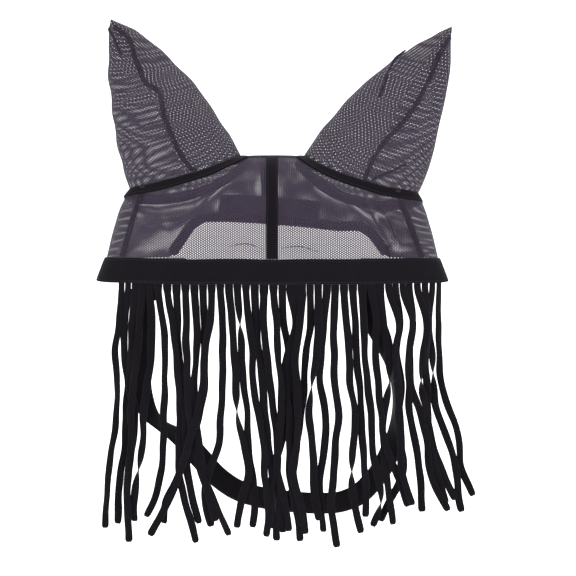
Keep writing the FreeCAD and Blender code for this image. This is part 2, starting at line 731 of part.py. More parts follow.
def throat_strap():
    """Two short tabs under the browband, the long elastic strap between them, and its hook and loop
    closure on the right tab. The strap is sewn to the back of the left tab and hangs as a flat U."""
    hem = "-dims.crown_drop - dims.band_height"
    top = f"{hem} - dims.fringe_gap"
    patch_top = f"{top} - dims.closure_tab_length + dims.closure_length"
    patch_width = "dims.strap_width - 3"
    half_stack = "dims.strap_wall / 2 + dims.closure_wall / 2"
    hook_depth = SWING_Y
    strap_depth = f"{hook_depth} + {half_stack}"
    loop_depth = f"{hook_depth} - dims.closure_wall - dims.closure_gap"
    tab_depth = f"{loop_depth} - ({half_stack})"
    webbing = ("dims.strap_width", "dims.strap_wall")
    patch = (patch_width, "dims.closure_wall")
    left_tab_depth = f"{strap_depth} - dims.strap_wall"
    tabs = [
        ("strap_tab_left", "left", top, "dims.strap_tab_length", webbing, left_tab_depth),
        ("strap_tab_right", "right", top, "dims.closure_tab_length", webbing, tab_depth),
        ("loop_patch", "right", patch_top, "dims.closure_length", patch, loop_depth),
        ("hook_patch", "right", patch_top, "dims.closure_length", patch, hook_depth),
    ]
    pieces = []
    for name, side, z_top, length, (width, wall), depth in tabs:
        pieces.append(flat_tab(name, ANCHOR_X[side], z_top, width, length, wall, depth))

    hem_level = -size("crown_drop") - size("band_height")
    start_z = hem_level - size("strap_start_drop")
    low_z = hem_level - size("strap_drop")
    end_z = hem_level - size("fringe_gap") - size("closure_tab_length") + size("closure_length")
    left_x = size("strap_left_inset") - size("band_half_width")
    right_x = size("band_half_width") - size("strap_right_inset")
    middle_line = (
        (left_x, start_z),
        (left_x, low_z + 100),
        (left_x + 70, low_z + 6),
        (right_x - 50, low_z),
        (right_x + 14, low_z + 42),
        (right_x, end_z - size("closure_length") - 30),
        (right_x, end_z),
    )
    outline = doc.addObject("Part::Feature", "strap_outline")
    outline.Shape = ribbon_outline(middle_line, size("strap_corner_radius"), size("strap_width") / 2)
    outline.setExpression("Placement.Base.y", strap_depth)
    strap = add("Part::Extrusion", "throat_strap", LengthFwd="dims.strap_wall")
    strap.Base = outline
    strap.DirMode = "Custom"
    strap.Dir = FreeCAD.Vector(0, 1, 0)
    strap.Symmetric = True
    strap.Solid = True
    return pieces + [strap]


# ---- the whole mask -------------------------------------------------------------------------


def check(pieces):
    """Stops if anything failed or a piece has no valid solid."""
    failed = [o.Name for o in doc.Objects if {"Invalid", "Error"} & set(o.State)]
    for piece in pieces:
        shape = piece.Shape
        if shape.isNull() or not shape.isValid() or not shape.Solids:
            failed.append(piece.Label)
    if failed:
        raise RuntimeError(f"failed: {sorted(set(failed))}")


def main():
    fill_sheet()
    band, band_inside = browband()
    panels, above = bonnet()
    pieces = band + panels
    for side in ("left", "right"):
        pieces += ear(side, above[side])
        pieces.append(strap_anchor(side, band_inside))
    pieces += fringe()
    pieces += throat_strap()
    doc.recompute()
    check(pieces)
    os.makedirs("parts", exist_ok=True)
    for piece in pieces:
        piece.Label = piece.Name
        piece.Shape.exportStep(f"parts/{piece.Name}.step")
        box = piece.Shape.BoundBox
        print(
            f"{piece.Name}: {len(piece.Shape.Solids)} solids, {piece.Shape.Volume:.0f} mm3,"
            f" x {box.XMin:.1f} {box.XMax:.1f}, y {box.YMin:.1f} {box.YMax:.1f},"
            f" z {box.ZMin:.1f} {box.ZMax:.1f}"
        )


main()
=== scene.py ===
"""A fly mask of open net with two ear covers, a cut fringe and a throat strap.

The surfaces are worked out in millimetres and scaled to metres as each mesh is made.
Left and right are as seen facing the forehead side, which looks along -Y.
"""

import math

import bmesh
import bpy
import numpy as np
from bpy.props import FloatProperty, FloatVectorProperty, IntProperty, PointerProperty
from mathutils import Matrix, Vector


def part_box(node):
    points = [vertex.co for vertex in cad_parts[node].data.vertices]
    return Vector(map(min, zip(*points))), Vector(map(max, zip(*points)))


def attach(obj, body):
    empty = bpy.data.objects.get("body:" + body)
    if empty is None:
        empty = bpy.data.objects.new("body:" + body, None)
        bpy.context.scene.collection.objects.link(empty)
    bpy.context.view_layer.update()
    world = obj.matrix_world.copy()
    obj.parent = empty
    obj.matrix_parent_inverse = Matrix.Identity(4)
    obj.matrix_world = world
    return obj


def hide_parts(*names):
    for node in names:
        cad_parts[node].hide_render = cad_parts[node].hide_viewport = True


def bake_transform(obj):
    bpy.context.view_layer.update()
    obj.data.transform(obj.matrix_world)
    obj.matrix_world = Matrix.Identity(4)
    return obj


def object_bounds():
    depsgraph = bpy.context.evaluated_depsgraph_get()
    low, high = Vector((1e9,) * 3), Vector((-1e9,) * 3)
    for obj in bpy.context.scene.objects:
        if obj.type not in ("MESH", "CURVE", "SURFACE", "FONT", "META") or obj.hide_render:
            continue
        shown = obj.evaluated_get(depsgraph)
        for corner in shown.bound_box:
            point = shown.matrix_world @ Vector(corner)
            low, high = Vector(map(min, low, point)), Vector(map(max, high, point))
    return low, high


bl_info = {
    "name": "Fly Mask",
    "version": (1, 0, 0),
    "blender": (4, 5, 0),
    "location": "View3D > Sidebar > Fly Mask",
    "description": "Makes a fly mask with ear covers, fringe and throat strap",
    "category": "Object",
}

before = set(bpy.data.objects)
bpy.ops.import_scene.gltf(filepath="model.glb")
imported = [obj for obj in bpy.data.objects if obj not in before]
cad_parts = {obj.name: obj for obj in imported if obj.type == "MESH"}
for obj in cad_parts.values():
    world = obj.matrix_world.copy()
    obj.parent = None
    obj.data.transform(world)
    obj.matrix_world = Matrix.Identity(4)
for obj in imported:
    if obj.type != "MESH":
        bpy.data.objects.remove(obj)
CAD_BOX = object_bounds()

# The crown narrows from the browband (rise 0) to the poll (rise 1).
CROWN_DROP = 112.0
CROWN_RISE = (0, 0.3, 0.58, 0.72, 0.84, 0.94, 0.985, 1.0)
CROWN_REACH = (1, 0.945, 0.868, 0.79, 0.62, 0.363, 0.17, 0.0)
LEAN = math.tan(math.radians(15))  # the ear sockets lean back by this slope

# Each ear: socket ends and dip, then the shift from foot to tip of its two edges, their bows,
# and how far across the front its seam lies at the tip and at the foot.
EARS = {
    "left": dict(
        side=-1, foot=(156.5, -37.0), dip=8.0, outer=(23.5, 190), inner=(120, 142),
        bow_outer=(12, 1), bow_inner=(-8, 9),
        seam=((176, 144), (162, 134), (150, 105), (140, 82), (126, 72), (119.5, 46), (110.5, 22), (98, -3),
              (83, -20)),
        folds=(((180, 142), (166, 112), 3.0, 2.6), ((140, 118), (104, 62), 4.5, 1.8),
               ((150, 60), (135, -8), 5.0, 1.6),
               ((118, 96), (84, 50), 3.6, 1.4), ((92, 62), (72, 8), 5.0, 1.6)),
    ),
    "right": dict(
        side=1, foot=(151.0, -42.0), dip=10.0, outer=(49.3, 187), inner=(153, 139),
        bow_outer=(14, 0), bow_inner=(-8, 12),
        seam=((197, 133), (187, 116), (171.5, 80), (148, 42), (121, 12), (109, -9), (100, -29)),
        folds=(((143, 116), (129, 92), 3.0, 2.6), ((129, 92), (119, 65), 3.2, 2.4),
               ((119, 65), (92, 41), 3.4, 2.0),
               ((148, -8), (110, -26), 3.0, 2.2), ((176, 92), (160, 20), 5.0, 1.5),
               ((100, 70), (66, 22), 4.5, 1.5)),
    ),
}

# The nape hem from its left foot round to its right foot, as places across and down.
HEM = ((-122, -131), (-116, -112), (-104, -93), (-93, -78), (-83, -70.5), (-66, -69), (-30, -70), (0, -72),
       (45, -76),
       (80, -79.5), (99, -79.5), (111, -85), (121, -97), (131, -112), (137, -131))

# Where each strand hangs: places across at seven depths, then its tip across, its tip's drop
# below the browband, and the depth row at which it turns over (0 for none).
STRAND_DEPTHS = (184.8, 217.8, 250.8, 283.8, 316.8, 349.8, 382.8)
STRANDS = (
    (-168, -171, -175, -173, -175, -178, -183, -187, -189, 277, 0),
    (-161, -164, -166, -161, -163, -165, -170, -172, -174, 271, 0),
    (-154, -156, -157, -158, -154, -155, -160, -162, -161, 290, 0),
    (-147, -147, -150, -154, -156, -157, -160, -161, -159, 262, 0),
    (-141, -133, -134, -139, -143, -143, -150, -154, -153, 266, 6),
    (-128, -121, -118, -119, -121, -121, -123, -133, -141, 260, 0),
    (-116, -110, -106, -103, -103, -103, -103, -97, -84, 288, 0),
    (-106, -104, -104, -99, -96, -95, -95, -87, -81, 267, 0),
    (-96, -94, -94, -94, -91, -86, -79, -67, -62, 263, 0),
    (-84, -83, -84, -85, -85, -81, -76, -63, -49, 279, 0),
    (-75, -75, -74, -75, -81, -91, -102, -119, -121, 267, 0),
    (-66, -68, -74, -77, -82, -92, -103, -116, -135, 279, 0),
    (-55, -54, -55, -55, -56, -59, -71, -74, -67, 270, 0),
    (-45, -43, -42, -40, -38, -31, -27, -34, -39, 271, 4),
    (-37, -35, -33, -31, -28, -26, -22, -20, -22, 271, 1),
    (-26, -25, -22, -20, -15, -10, -8, -4, -7, 280, 0),
    (-17, -17, -14, -11, -7, -4, 0, 4, 5, 285, 7),
    (-8, -9, -6, -2, 3, 5, 6, 9, 12, 276, 0),
    (7, 5, 7, 10, 9, 7, 7, 14, 19, 274, 0),
    (18, 13, 18, 17, 14, 10, 1, -1, -3, 271, 0),
    (25, 26, 17, 14, 18, 20, 20, 25, 32, 286, 0),
    (29, 27, 23, 21, 21, 22, 21, 27, 33, 268, 0),
    (34, 30, 26, 28, 28, 27, 24, 31, 37, 277, 0),
    (42, 42, 38, 35, 32, 28, 24, 18, 10, 268, 0),
    (51, 51, 48, 45, 41, 44, 46, 49, 52, 262, 3),
    (64, 57, 54, 54, 59, 58, 54, 54, 56, 277, 0),
    (69, 68, 69, 69, 73, 71, 68, 65, 73, 292, 0),
    (82, 82, 85, 87, 91, 90, 89, 91, 98, 277, 6),
    (91, 92, 94, 96, 99, 101, 103, 104, 104, 260, 0),
    (101, 101, 103, 106, 109, 111, 117, 121, 112, 271, 7),
    (115, 116, 114, 117, 121, 126, 137, 150, 152, 248, 0),
    (125, 124, 128, 130, 125, 124, 126, 132, 135, 269, 3),
    (135, 140, 137, 141, 141, 143, 145, 153, 156, 246, 0),
    (140, 142, 139, 143, 141, 144, 146, 131, 122, 267, 0),
    (149, 156, 152, 153, 152, 160, 165, 166, 167, 256, 0),
    (153, 157, 153, 154, 165, 173, 175, 192, 198, 256, 0),
    (164, 172, 169, 167, 171, 179, 190, 204, 205, 244, 3),
    (169, 174, 172, 173, 173, 175, 184, 193, 195, 248, 0),
    (191, 176, 178, 181, 185, 197, 206, 211, 214, 259, 3),
    (185, 186, 187, 190, 199, 210, 214, 226, 227, 242, 0),
)

# The throat strap's middle line (across, height), and how far it is turned about that line.
STRAP = (
    (-151, -152, 0), (-152.5, -185, 0), (-153.5, -220, 0), (-153.5, -252, 3), (-151, -276, 18),
    (-144, -294, 42),
    (-131, -309, 66), (-115, -320, 55), (-99, -332, 32), (-84, -349, 12), (-66, -369, 0), (-44, -385, 0),
    (-15, -395, 0), (20, -400, 0), (52, -402, 0), (80, -400, 0), (99, -392, 8), (114, -378, 20),
    (127, -360, 24), (135, -343, 28), (140, -322, 55), (141, -298, 80), (140, -268, 84), (135, -238, 66),
    (127, -212, 32), (119, -192, 8), (116.5, -175, 0), (115.5, -159, 0),
)


# ---------------------------------------------------------------- shapes

def smooth_line(knots, values, at):
    """A smooth line through given values: each stretch is the cubic that leaves and reaches its ends at the
    slope of their neighbours.
    """
    knots, values, at = np.asarray(knots, float), np.asarray(values, float), np.asarray(at, float)
    slope = np.gradient(values, knots, axis=0)
    i = np.clip(np.searchsorted(knots, at, side="right") - 1, 0, len(knots) - 2)
    h = knots[i + 1] - knots[i]
    t = np.clip((at - knots[i]) / h, 0, 1)
    if values.ndim > 1:
        t, h = t[..., None], h[..., None]
    return ((2 * t**3 - 3 * t**2 + 1) * values[i] + (t**3 - 2 * t**2 + t) * h * slope[i]
            + (3 * t**2 - 2 * t**3) * values[i + 1] + (t**3 - t**2) * h * slope[i + 1])


def step(value, low, high):
    """A smooth step: 0 below low, 1 above high, three t squared less two t cubed between."""
    t = np.clip((value - low) / (high - low), 0, 1)
    return t * t * (3 - 2 * t)


def unit(vectors):
    """Each vector divided by its own length."""
    return vectors / np.maximum(np.linalg.norm(vectors, axis=-1, keepdims=True), 1e-9)


def reach(rise):
    """Half the crown's width at a rise: 30 at the poll, growing with the reach table to the browband."""
    return 30 + 156.5 * smooth_line(CROWN_RISE, CROWN_REACH, np.clip(rise, 0, 1))


def depth(rise):
    """Half the crown's depth at a rise: 51.2 times the root of one less the rise squared."""
    return 51.2 * np.sqrt(np.clip(1 - np.clip(rise, 0, 1) ** 2, 0, 1))


def crown(side, rise, turn):
    """A place on the crown: across is the reach times the cosine of the turn, depth is times its sine,
    height falls evenly with the rise.
    """
    return np.stack([side * reach(rise) * np.cos(turn), depth(rise) * np.sin(turn),
                     -CROWN_DROP * (1 - rise) + 0 * turn], axis=-1)


def crown_turn(across, rise, back):
    """The turn at which the crown lies that far across: the arc cosine of across over reach, minus at the
    front and plus at the back.
    """
    return back * np.arccos(np.clip(across / reach(rise), -1, 1))


def socket_height(ear, across):
    """Height of a socket's lower arc above the ends' chord line: a circle of radius (half chord squared
    plus dip squared) over twice the dip.
    """
    x0, (x1, z1), dip = 34.0, ear["foot"], ear["dip"]
    half = math.hypot(x1 - x0, z1) / 2
    radius = (half**2 + dip**2) / (2 * dip)
    up = np.array([-z1, x1 - x0]) / (2 * half)
    cx, cz = (x0 + x1) / 2 + up[0] * (radius - dip), z1 / 2 + up[1] * (radius - dip)
    return cz - np.sqrt(radius**2 - (across - cx) ** 2)


def halve(low, high, rule):
    """The place between low and high where rule turns from below to above nought, by halving forty times.
    """
    low, high = np.array(low, float), np.array(high, float)
    for _ in range(40):
        mid = (low + high) / 2
        above = rule(mid) > 0
        high, low = np.where(above, mid, high), np.where(above, low, mid)
    return (low + high) / 2


def lean(turn):
    """How far the rim drops towards the back for each millimetre of depth: half as much again behind as in
    front.
    """
    return LEAN * np.where(turn > 0, 1.5, 1.0)


def rim(ear, angle):
    """The socket's rim on the crown as (rise, turn): across swings from the inner end (angle 0) to the
    outer (half turn) as a cosine, front first, and the rise is where the crown meets the socket's
    circle.
    """
    side_gap = lambda rise: -CROWN_DROP * (1 - rise) - socket_height(ear, reach(rise))
    outer = reach(halve(0.3, 0.85, side_gap))
    inner = reach(halve(0.85, 1.0, lambda rise: -side_gap(rise)))
    across = inner + (outer - inner) * (1 - np.cos(angle)) / 2
    back = np.where(np.sin(angle) >= 0, -1.0, 1.0)
    table = np.linspace(0, 1, 2000)
    top = np.interp(-across, -reach(table), table)

    def gap(rise):
        turn = crown_turn(across, rise, back)
        return -CROWN_DROP * (1 - rise) + lean(turn) * depth(rise) * np.sin(turn) - socket_height(ear,
                across)

    rise = np.minimum(halve(np.full_like(across, 0.2), top, gap), top)
    return rise, crown_turn(across, rise, back)


def crown_normal(side, rise, turn):
    """The crown's outward normal, from the cross product of its two slopes."""
    e = 1e-3
    around = crown(side, rise, turn + e) - crown(side, rise, turn - e)
    up = crown(side, np.clip(rise + e, 0, 1 - e), turn) - crown(side, np.clip(rise - e, 0, 1 - e), turn)
    n = unit(np.cross(around, up))
    out = np.stack([side * np.cos(turn), np.sin(turn), 0.3 + 0 * turn], axis=-1)
    return n * np.where((n * out).sum(-1) < 0, -1.0, 1.0)[..., None]


def ripple(points, seed, length, size):
    """Small soft unevenness: the mean of eight seeded sine waves of about the given length."""
    rng = np.random.default_rng(seed)
    ways = unit(rng.normal(size=(8, 3))) * (2 * math.pi / length) * rng.uniform(0.6, 1.6, (8, 1))
    return size * np.sin(points @ ways.T + rng.uniform(0, 6.28, 8)).mean(-1) * 2


def crease(points, start, end, width, height, side=1):
    """A ridge along a straight line across the front: height times the bell curve of the distance from it,
    fading at its ends.
    """
    a, b = np.array([side * start[0], start[1]]), np.array([side * end[0], end[1]])
    flat = points[..., [0, 2]] - a
    along = flat @ (b - a) / ((b - a) @ (b - a))
    off = np.linalg.norm(flat - np.clip(along, 0, 1)[..., None] * (b - a), axis=-1)
    front = points[..., 1] < 6
    return np.where(front, height * np.exp(-((off / width) ** 2)), 0)


def hem_line(at):
    """The nape hem's middle line as places across and down, smooth through its given places; at runs 0 to 1
    by length.
    """
    places = np.array(HEM, float)
    run = np.concatenate([[0], np.cumsum(np.linalg.norm(np.diff(places, axis=0), axis=1))])
    return smooth_line(run / run[-1], places, at)


def ear_place(name, angle, along):
    """A place on an ear cover: an oval between its outer and inner edge lines, deep at the foot and closed
    at the tip, eased into the socket's rim near the foot.
    """
    ear = EARS[name]
    side, s = ear["side"], along
    arc = 4 * s * (1 - s)
    foot = np.array(ear["foot"])
    outer = foot + s[..., None] * np.array(ear["outer"]) + arc[..., None] * np.array(ear["bow_outer"])
    inner = np.array([34.0, 0]) + s[..., None] * np.array(ear["inner"]) + arc[...,
            None] * np.array(ear["bow_inner"])
    deep = (3 + 25 * (1 - s) ** 0.8) * np.sqrt(np.clip((1 - s) / 0.03, 0, 1))
    share = (1 - np.cos(angle)) / 2
    flat = inner + (outer - inner) * share[..., None]
    oval = np.stack([side * flat[..., 0], -deep * np.sin(angle), flat[..., 1]], axis=-1)
    ring = np.linspace(0, 2 * math.pi, 721)
    edge = crown(side, *rim(ear, ring))
    turned = np.mod(angle, 2 * math.pi)
    seat = np.stack([np.interp(turned, ring, edge[:, k]) for k in range(3)], axis=-1)
    base = np.array([34.0, 0]) + (foot - np.array([34.0, 0])) * share[..., None]
    base = np.stack([side * base[..., 0], -28 * np.sin(angle), base[..., 1]], axis=-1)
    return oval + (seat - base) * (1 - step(s, 0, 0.55))[..., None]


def ear_normal(name, angle, along):
    """The ear cover's outward normal, from the cross product of its two slopes."""
    e = 2e-3
    around = ear_place(name, angle + e, along) - ear_place(name, angle - e, along)
    up = ear_place(name, angle, np.clip(along + e, 0, 0.95)) - ear_place(name, angle,
            np.clip(along - e, 0, 0.95) - 1e-4)
    return unit(np.cross(around, up)) * -EARS[name]["side"]


# ---------------------------------------------------------------- meshes

ACROSS = np.array([-1, -0.95, -0.6, 0, 0.6, 0.95, 1, 0.95, 0.6, 0, -0.6, -0.95])
ABOVE = np.array([0, 0.75, 1, 1, 1, 0.75, 0, -0.75, -1, -1, -1, -0.75])


def webbing(line, facing, width, thick, cup=0.0, closed=False):
    """A flat strip carried along a line: a thin rounded slot of the given width and thickness stands across
    the line at each place, its flat side facing as told, and the ends are capped.
    """
    line, facing = np.asarray(line, float), np.broadcast_to(np.asarray(facing, float), np.shape(line))
    ahead = np.roll(line, -1, 0) - np.roll(line, 1, 0) if closed else np.gradient(line, axis=0)
    across = unit(np.cross(unit(ahead), facing))
    facing = unit(np.cross(across, unit(ahead)))
    width = np.broadcast_to(np.asarray(width, float), len(line))
    if closed:
        line, across, facing, width = (np.concatenate([a, a[:1]]) for a in (line, across, facing, width))
    half = width[:, None] / 2 * ACROSS
    rings = (line[:, None] + across[:, None] * half[..., None]
             + facing[:, None] * (ABOVE * thick / 2 - cup * ACROSS**2)[None, :, None])
    run = np.concatenate([[0], np.cumsum(np.linalg.norm(np.diff(line, axis=0), axis=1))])
    uv = np.stack([np.broadcast_to(run[:, None], half.shape), half], axis=-1)
    n, k = half.shape
    i, j = np.meshgrid(np.arange(n - 1), np.arange(k), indexing="ij")
    quads = np.stack([i * k + j, i * k + (j + 1) % k, (i + 1) * k + (j + 1) % k, (i + 1) * k + j],
                     -1).reshape(-1, 4)
    faces = quads.tolist()
    if not closed:
        faces += [list(range(k))[::-1], [(n - 1) * k + q for q in range(k)]]
    return rings.reshape(-1, 3), faces, uv.reshape(-1, 2)


def cloth(points, uv, flip=False):
    """A grid of cloth as points, four-sided faces and its own lay of the weave."""
    rows, cols = points.shape[:2]
    i, j = np.meshgrid(np.arange(rows - 1), np.arange(cols - 1), indexing="ij")
    quads = np.stack([i * cols + j, i * cols + j + 1, (i + 1) * cols + j + 1, (i + 1) * cols + j],
                     -1).reshape(-1, 4)
    return points.reshape(-1, 3), (quads[:, ::-1] if flip else quads).tolist(), uv.reshape(-1, 2)


def weave_lay(points, down):
    """Lays the weave on a grid whose rows run across: across is the level length from the first column,
    down is given.
    """
    level = np.linalg.norm(np.diff(points[..., :2], axis=1), axis=-1)
    run = np.concatenate([np.zeros((len(points), 1)), np.cumsum(level, axis=1)], axis=1)
    return np.stack([run, np.broadcast_to(down, run.shape)], axis=-1)


def put(name, parts, material, closed=True):
    """Makes one object from (points, faces, lay) parts in millimetres, with its own UV map in metres."""
    starts = np.cumsum([0] + [len(p[0]) for p in parts])
    points = np.concatenate([p[0] for p in parts]) * 0.001
    faces = [[q + int(a) for q in f] for a, p in zip(starts, parts) for f in p[1]]
    lay = np.concatenate([p[2] for p in parts]) * 0.001
    mesh = bpy.data.meshes.new(name)
    mesh.from_pydata(points.tolist(), [], faces)
    corner = np.zeros(len(mesh.loops), int)
    mesh.loops.foreach_get("vertex_index", corner)
    mesh.uv_layers.new(name="lay").data.foreach_set("uv", lay[corner].astype(np.float32).ravel())
    work = bmesh.new()
    work.from_mesh(mesh)
    bmesh.ops.remove_doubles(work, verts=work.verts, dist=2e-6)
    if closed:
        bmesh.ops.recalc_face_normals(work, faces=work.faces)
    work.to_mesh(mesh)
    work.free()
    mesh.polygons.foreach_set("use_smooth", np.ones(len(mesh.polygons), bool))
    if not len(mesh.polygons):
        raise ValueError(f"{name} has no faces")
    mesh.materials.append(material)
    piece = bpy.data.objects.new(name, mesh)
    bpy.context.scene.collection.objects.link(piece)
    return piece


def node_box(name):
    """A CAD node's lowest and highest corner in millimetres."""
    low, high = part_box(name)
    return np.array(low) * 1000, np.array(high) * 1000


# ---------------------------------------------------------------- materials

def wire(tree, value, socket):
    """Sets a number or colour on a socket, or links another socket to it."""
    if isinstance(value, bpy.types.NodeSocket):
        tree.links.new(value, socket)
    else:
        socket.default_value = value


def maths(tree, operation, *values, clamp=False):
    """One Math node; the values are numbers or sockets."""
    made = tree.nodes.new("ShaderNodeMath")
    made.operation, made.use_clamp = operation, clamp
    for value, socket in zip(values, made.inputs):
        wire(tree, value, socket)
    return made.outputs[0]


def spread(tree, value, low, high, to_low, to_high):
    """A smooth Map Range node."""
    made = tree.nodes.new("ShaderNodeMapRange")
    made.interpolation_type = "SMOOTHSTEP"
    for v, socket in zip((value, low, high, to_low, to_high), made.inputs):
        wire(tree, v, socket)
    return made.outputs[0]


def split(tree, vector):
    """The across and along parts of a place."""
    made = tree.nodes.new("ShaderNodeSeparateXYZ")
    tree.links.new(vector, made.inputs[0])
    return made.outputs[0], made.outputs[1]


def grain(tree, vector, scale, detail=3.0):
    """One Noise node's value."""
    made = tree.nodes.new("ShaderNodeTexNoise")
    tree.links.new(vector, made.inputs["Vector"])
    wire(tree, scale, made.inputs["Scale"])
    made.inputs["Detail"].default_value = detail
    return made.outputs["Fac"]


def group(name, inputs, outputs, fill):
    """A node group with named sockets, built once; fill returns the sockets that feed its outputs."""
    if name in bpy.data.node_groups:
        return bpy.data.node_groups[name]
    tree = bpy.data.node_groups.new(name, "ShaderNodeTree")
    for label, kind, value in inputs:
        socket = tree.interface.new_socket(label, in_out="INPUT", socket_type=kind)
        if value is not None:
            socket.default_value = value
    for label in outputs:
        tree.interface.new_socket(label, in_out="OUTPUT", socket_type="NodeSocketFloat")
    source, target = tree.nodes.new("NodeGroupInput"), tree.nodes.new("NodeGroupOutput")
    for label, socket in zip(outputs, fill(tree, source.outputs)):
        tree.links.new(socket, target.inputs[label])
    return tree


PLACE = ("Place", "NodeSocketVector", None)


def number(label, value):
    """A number input for a node group."""
    return (label, "NodeSocketFloat", value)


NET_DRIFT = 0.0008  # how far the knitting is pulled out of line, metres
DRIFT_SCALE = 85.0
YARN_EDGE = 2.0  # softness of the yarn's edge, on the scale of the net's waves


def open_net():
    """Warp-knit net: three cosine waves a third of a turn apart add up to round holes on a honeycomb; yarn
    is where their sum is low. A slow noise pulls the knitting out of line by up to a third of a hole.
    """
    def fill(tree, given):
        count = maths(tree, "DIVIDE", 4 * math.pi / math.sqrt(3), given["Pitch"])
        drift = tree.nodes.new("ShaderNodeTexNoise")
        tree.links.new(given["Place"], drift.inputs["Vector"])
        drift.inputs["Scale"].default_value = DRIFT_SCALE
        drift.inputs["Detail"].default_value = 1.0
        pull = tree.nodes.new("ShaderNodeVectorMath")
        pull.operation = "MULTIPLY_ADD"
        tree.links.new(drift.outputs["Color"], pull.inputs[0])
        pull.inputs[1].default_value = (NET_DRIFT, NET_DRIFT, 0)
        tree.links.new(given["Place"], pull.inputs[2])
        waves = []
        for way in ((1, 0, 0), (0.5, 0.78, 0), (-0.5, 0.78, 0)):
            dot = tree.nodes.new("ShaderNodeVectorMath")
            dot.operation = "DOT_PRODUCT"
            tree.links.new(pull.outputs[0], dot.inputs[0])
            dot.inputs[1].default_value = way
            waves.append(maths(tree, "COSINE", maths(tree, "MULTIPLY", dot.outputs["Value"], count)))
        total = maths(tree, "ADD", maths(tree, "ADD", waves[0], waves[1]), waves[2])
        gap = maths(tree, "SUBTRACT", total, given["Opening"])
        return spread(tree, gap, -YARN_EDGE, YARN_EDGE, 1.0, 0.0), spread(tree, total, -1.5, 1.0, 1.0, 0.0)

    return group("open_net", [PLACE, number("Pitch", 0.0028), number("Opening", 0.1)], ["Yarn", "Height"],
                 fill)


def ribs():
    """Woven ribs: raised rounds along and across the strip, each the size of one bundle of yarn; the second
    output is a painted highlight that makes the crests paler.
    """
    def fill(tree, given):
        along, over = split(tree, given["Place"])
        a = maths(tree, "ABSOLUTE",
                  maths(tree, "SINE",
                        maths(tree, "DIVIDE", maths(tree, "MULTIPLY", along, math.pi), given["Along"])))
        b = maths(tree, "ABSOLUTE",
                  maths(tree, "SINE",
                        maths(tree, "DIVIDE", maths(tree, "MULTIPLY", over, math.pi), given["Across"])))
        height = maths(tree, "ADD", maths(tree, "MULTIPLY", a, given["Share"]),
                       maths(tree, "MULTIPLY", b, maths(tree, "SUBTRACT", 1.0, given["Share"])))
        # Painted highlight: the higher the rib, the paler the colour it gives.
        return height, spread(tree, height, 0.1, 0.8, 0.0, 1.0)

    return group("ribs", [PLACE, number("Along", 0.0016), number("Across", 0.0011), number("Share", 0.6)],
                 ["Height", "Light"], fill)


def stitch_row():
    """Sewing along a strip: dashes of thread at a set distance each side of its middle."""
    def fill(tree, given):
        along, over = split(tree, given["Place"])
        off = maths(tree, "ABSOLUTE",
                    maths(tree, "SUBTRACT", maths(tree, "ABSOLUTE", over), given["Offset"]))
        line = spread(tree, off, 0.0002, 0.00042, 1.0, 0.0)
        part = maths(tree, "ABSOLUTE",
                     maths(tree, "SUBTRACT",
                           maths(tree, "FRACT", maths(tree, "DIVIDE", along, given["Spacing"])), 0.5))
        dash = spread(tree, part, 0.33, 0.4, 1.0, 0.0)
        return (maths(tree, "MULTIPLY", line, dash),)

    return group("stitch_row", [PLACE, number("Offset", 0.004), number("Spacing", 0.003)], ["Thread"], fill)


def wear():
    """Uneven dye and dust: broad and fine noise on the object's own coordinates."""
    def fill(tree, given):
        broad = grain(tree, given["Place"], 14.0)
        fine = grain(tree, given["Place"], given["Fine"], 5.0)
        mixed = maths(tree, "ADD", maths(tree, "MULTIPLY", broad, 0.6), maths(tree, "MULTIPLY", fine, 0.4))
        return (spread(tree, mixed, 0.36, 0.66, 0.0, 1.0), fine)

    return group("wear", [PLACE, number("Fine", 900.0)], ["Fade", "Fuzz"], fill)


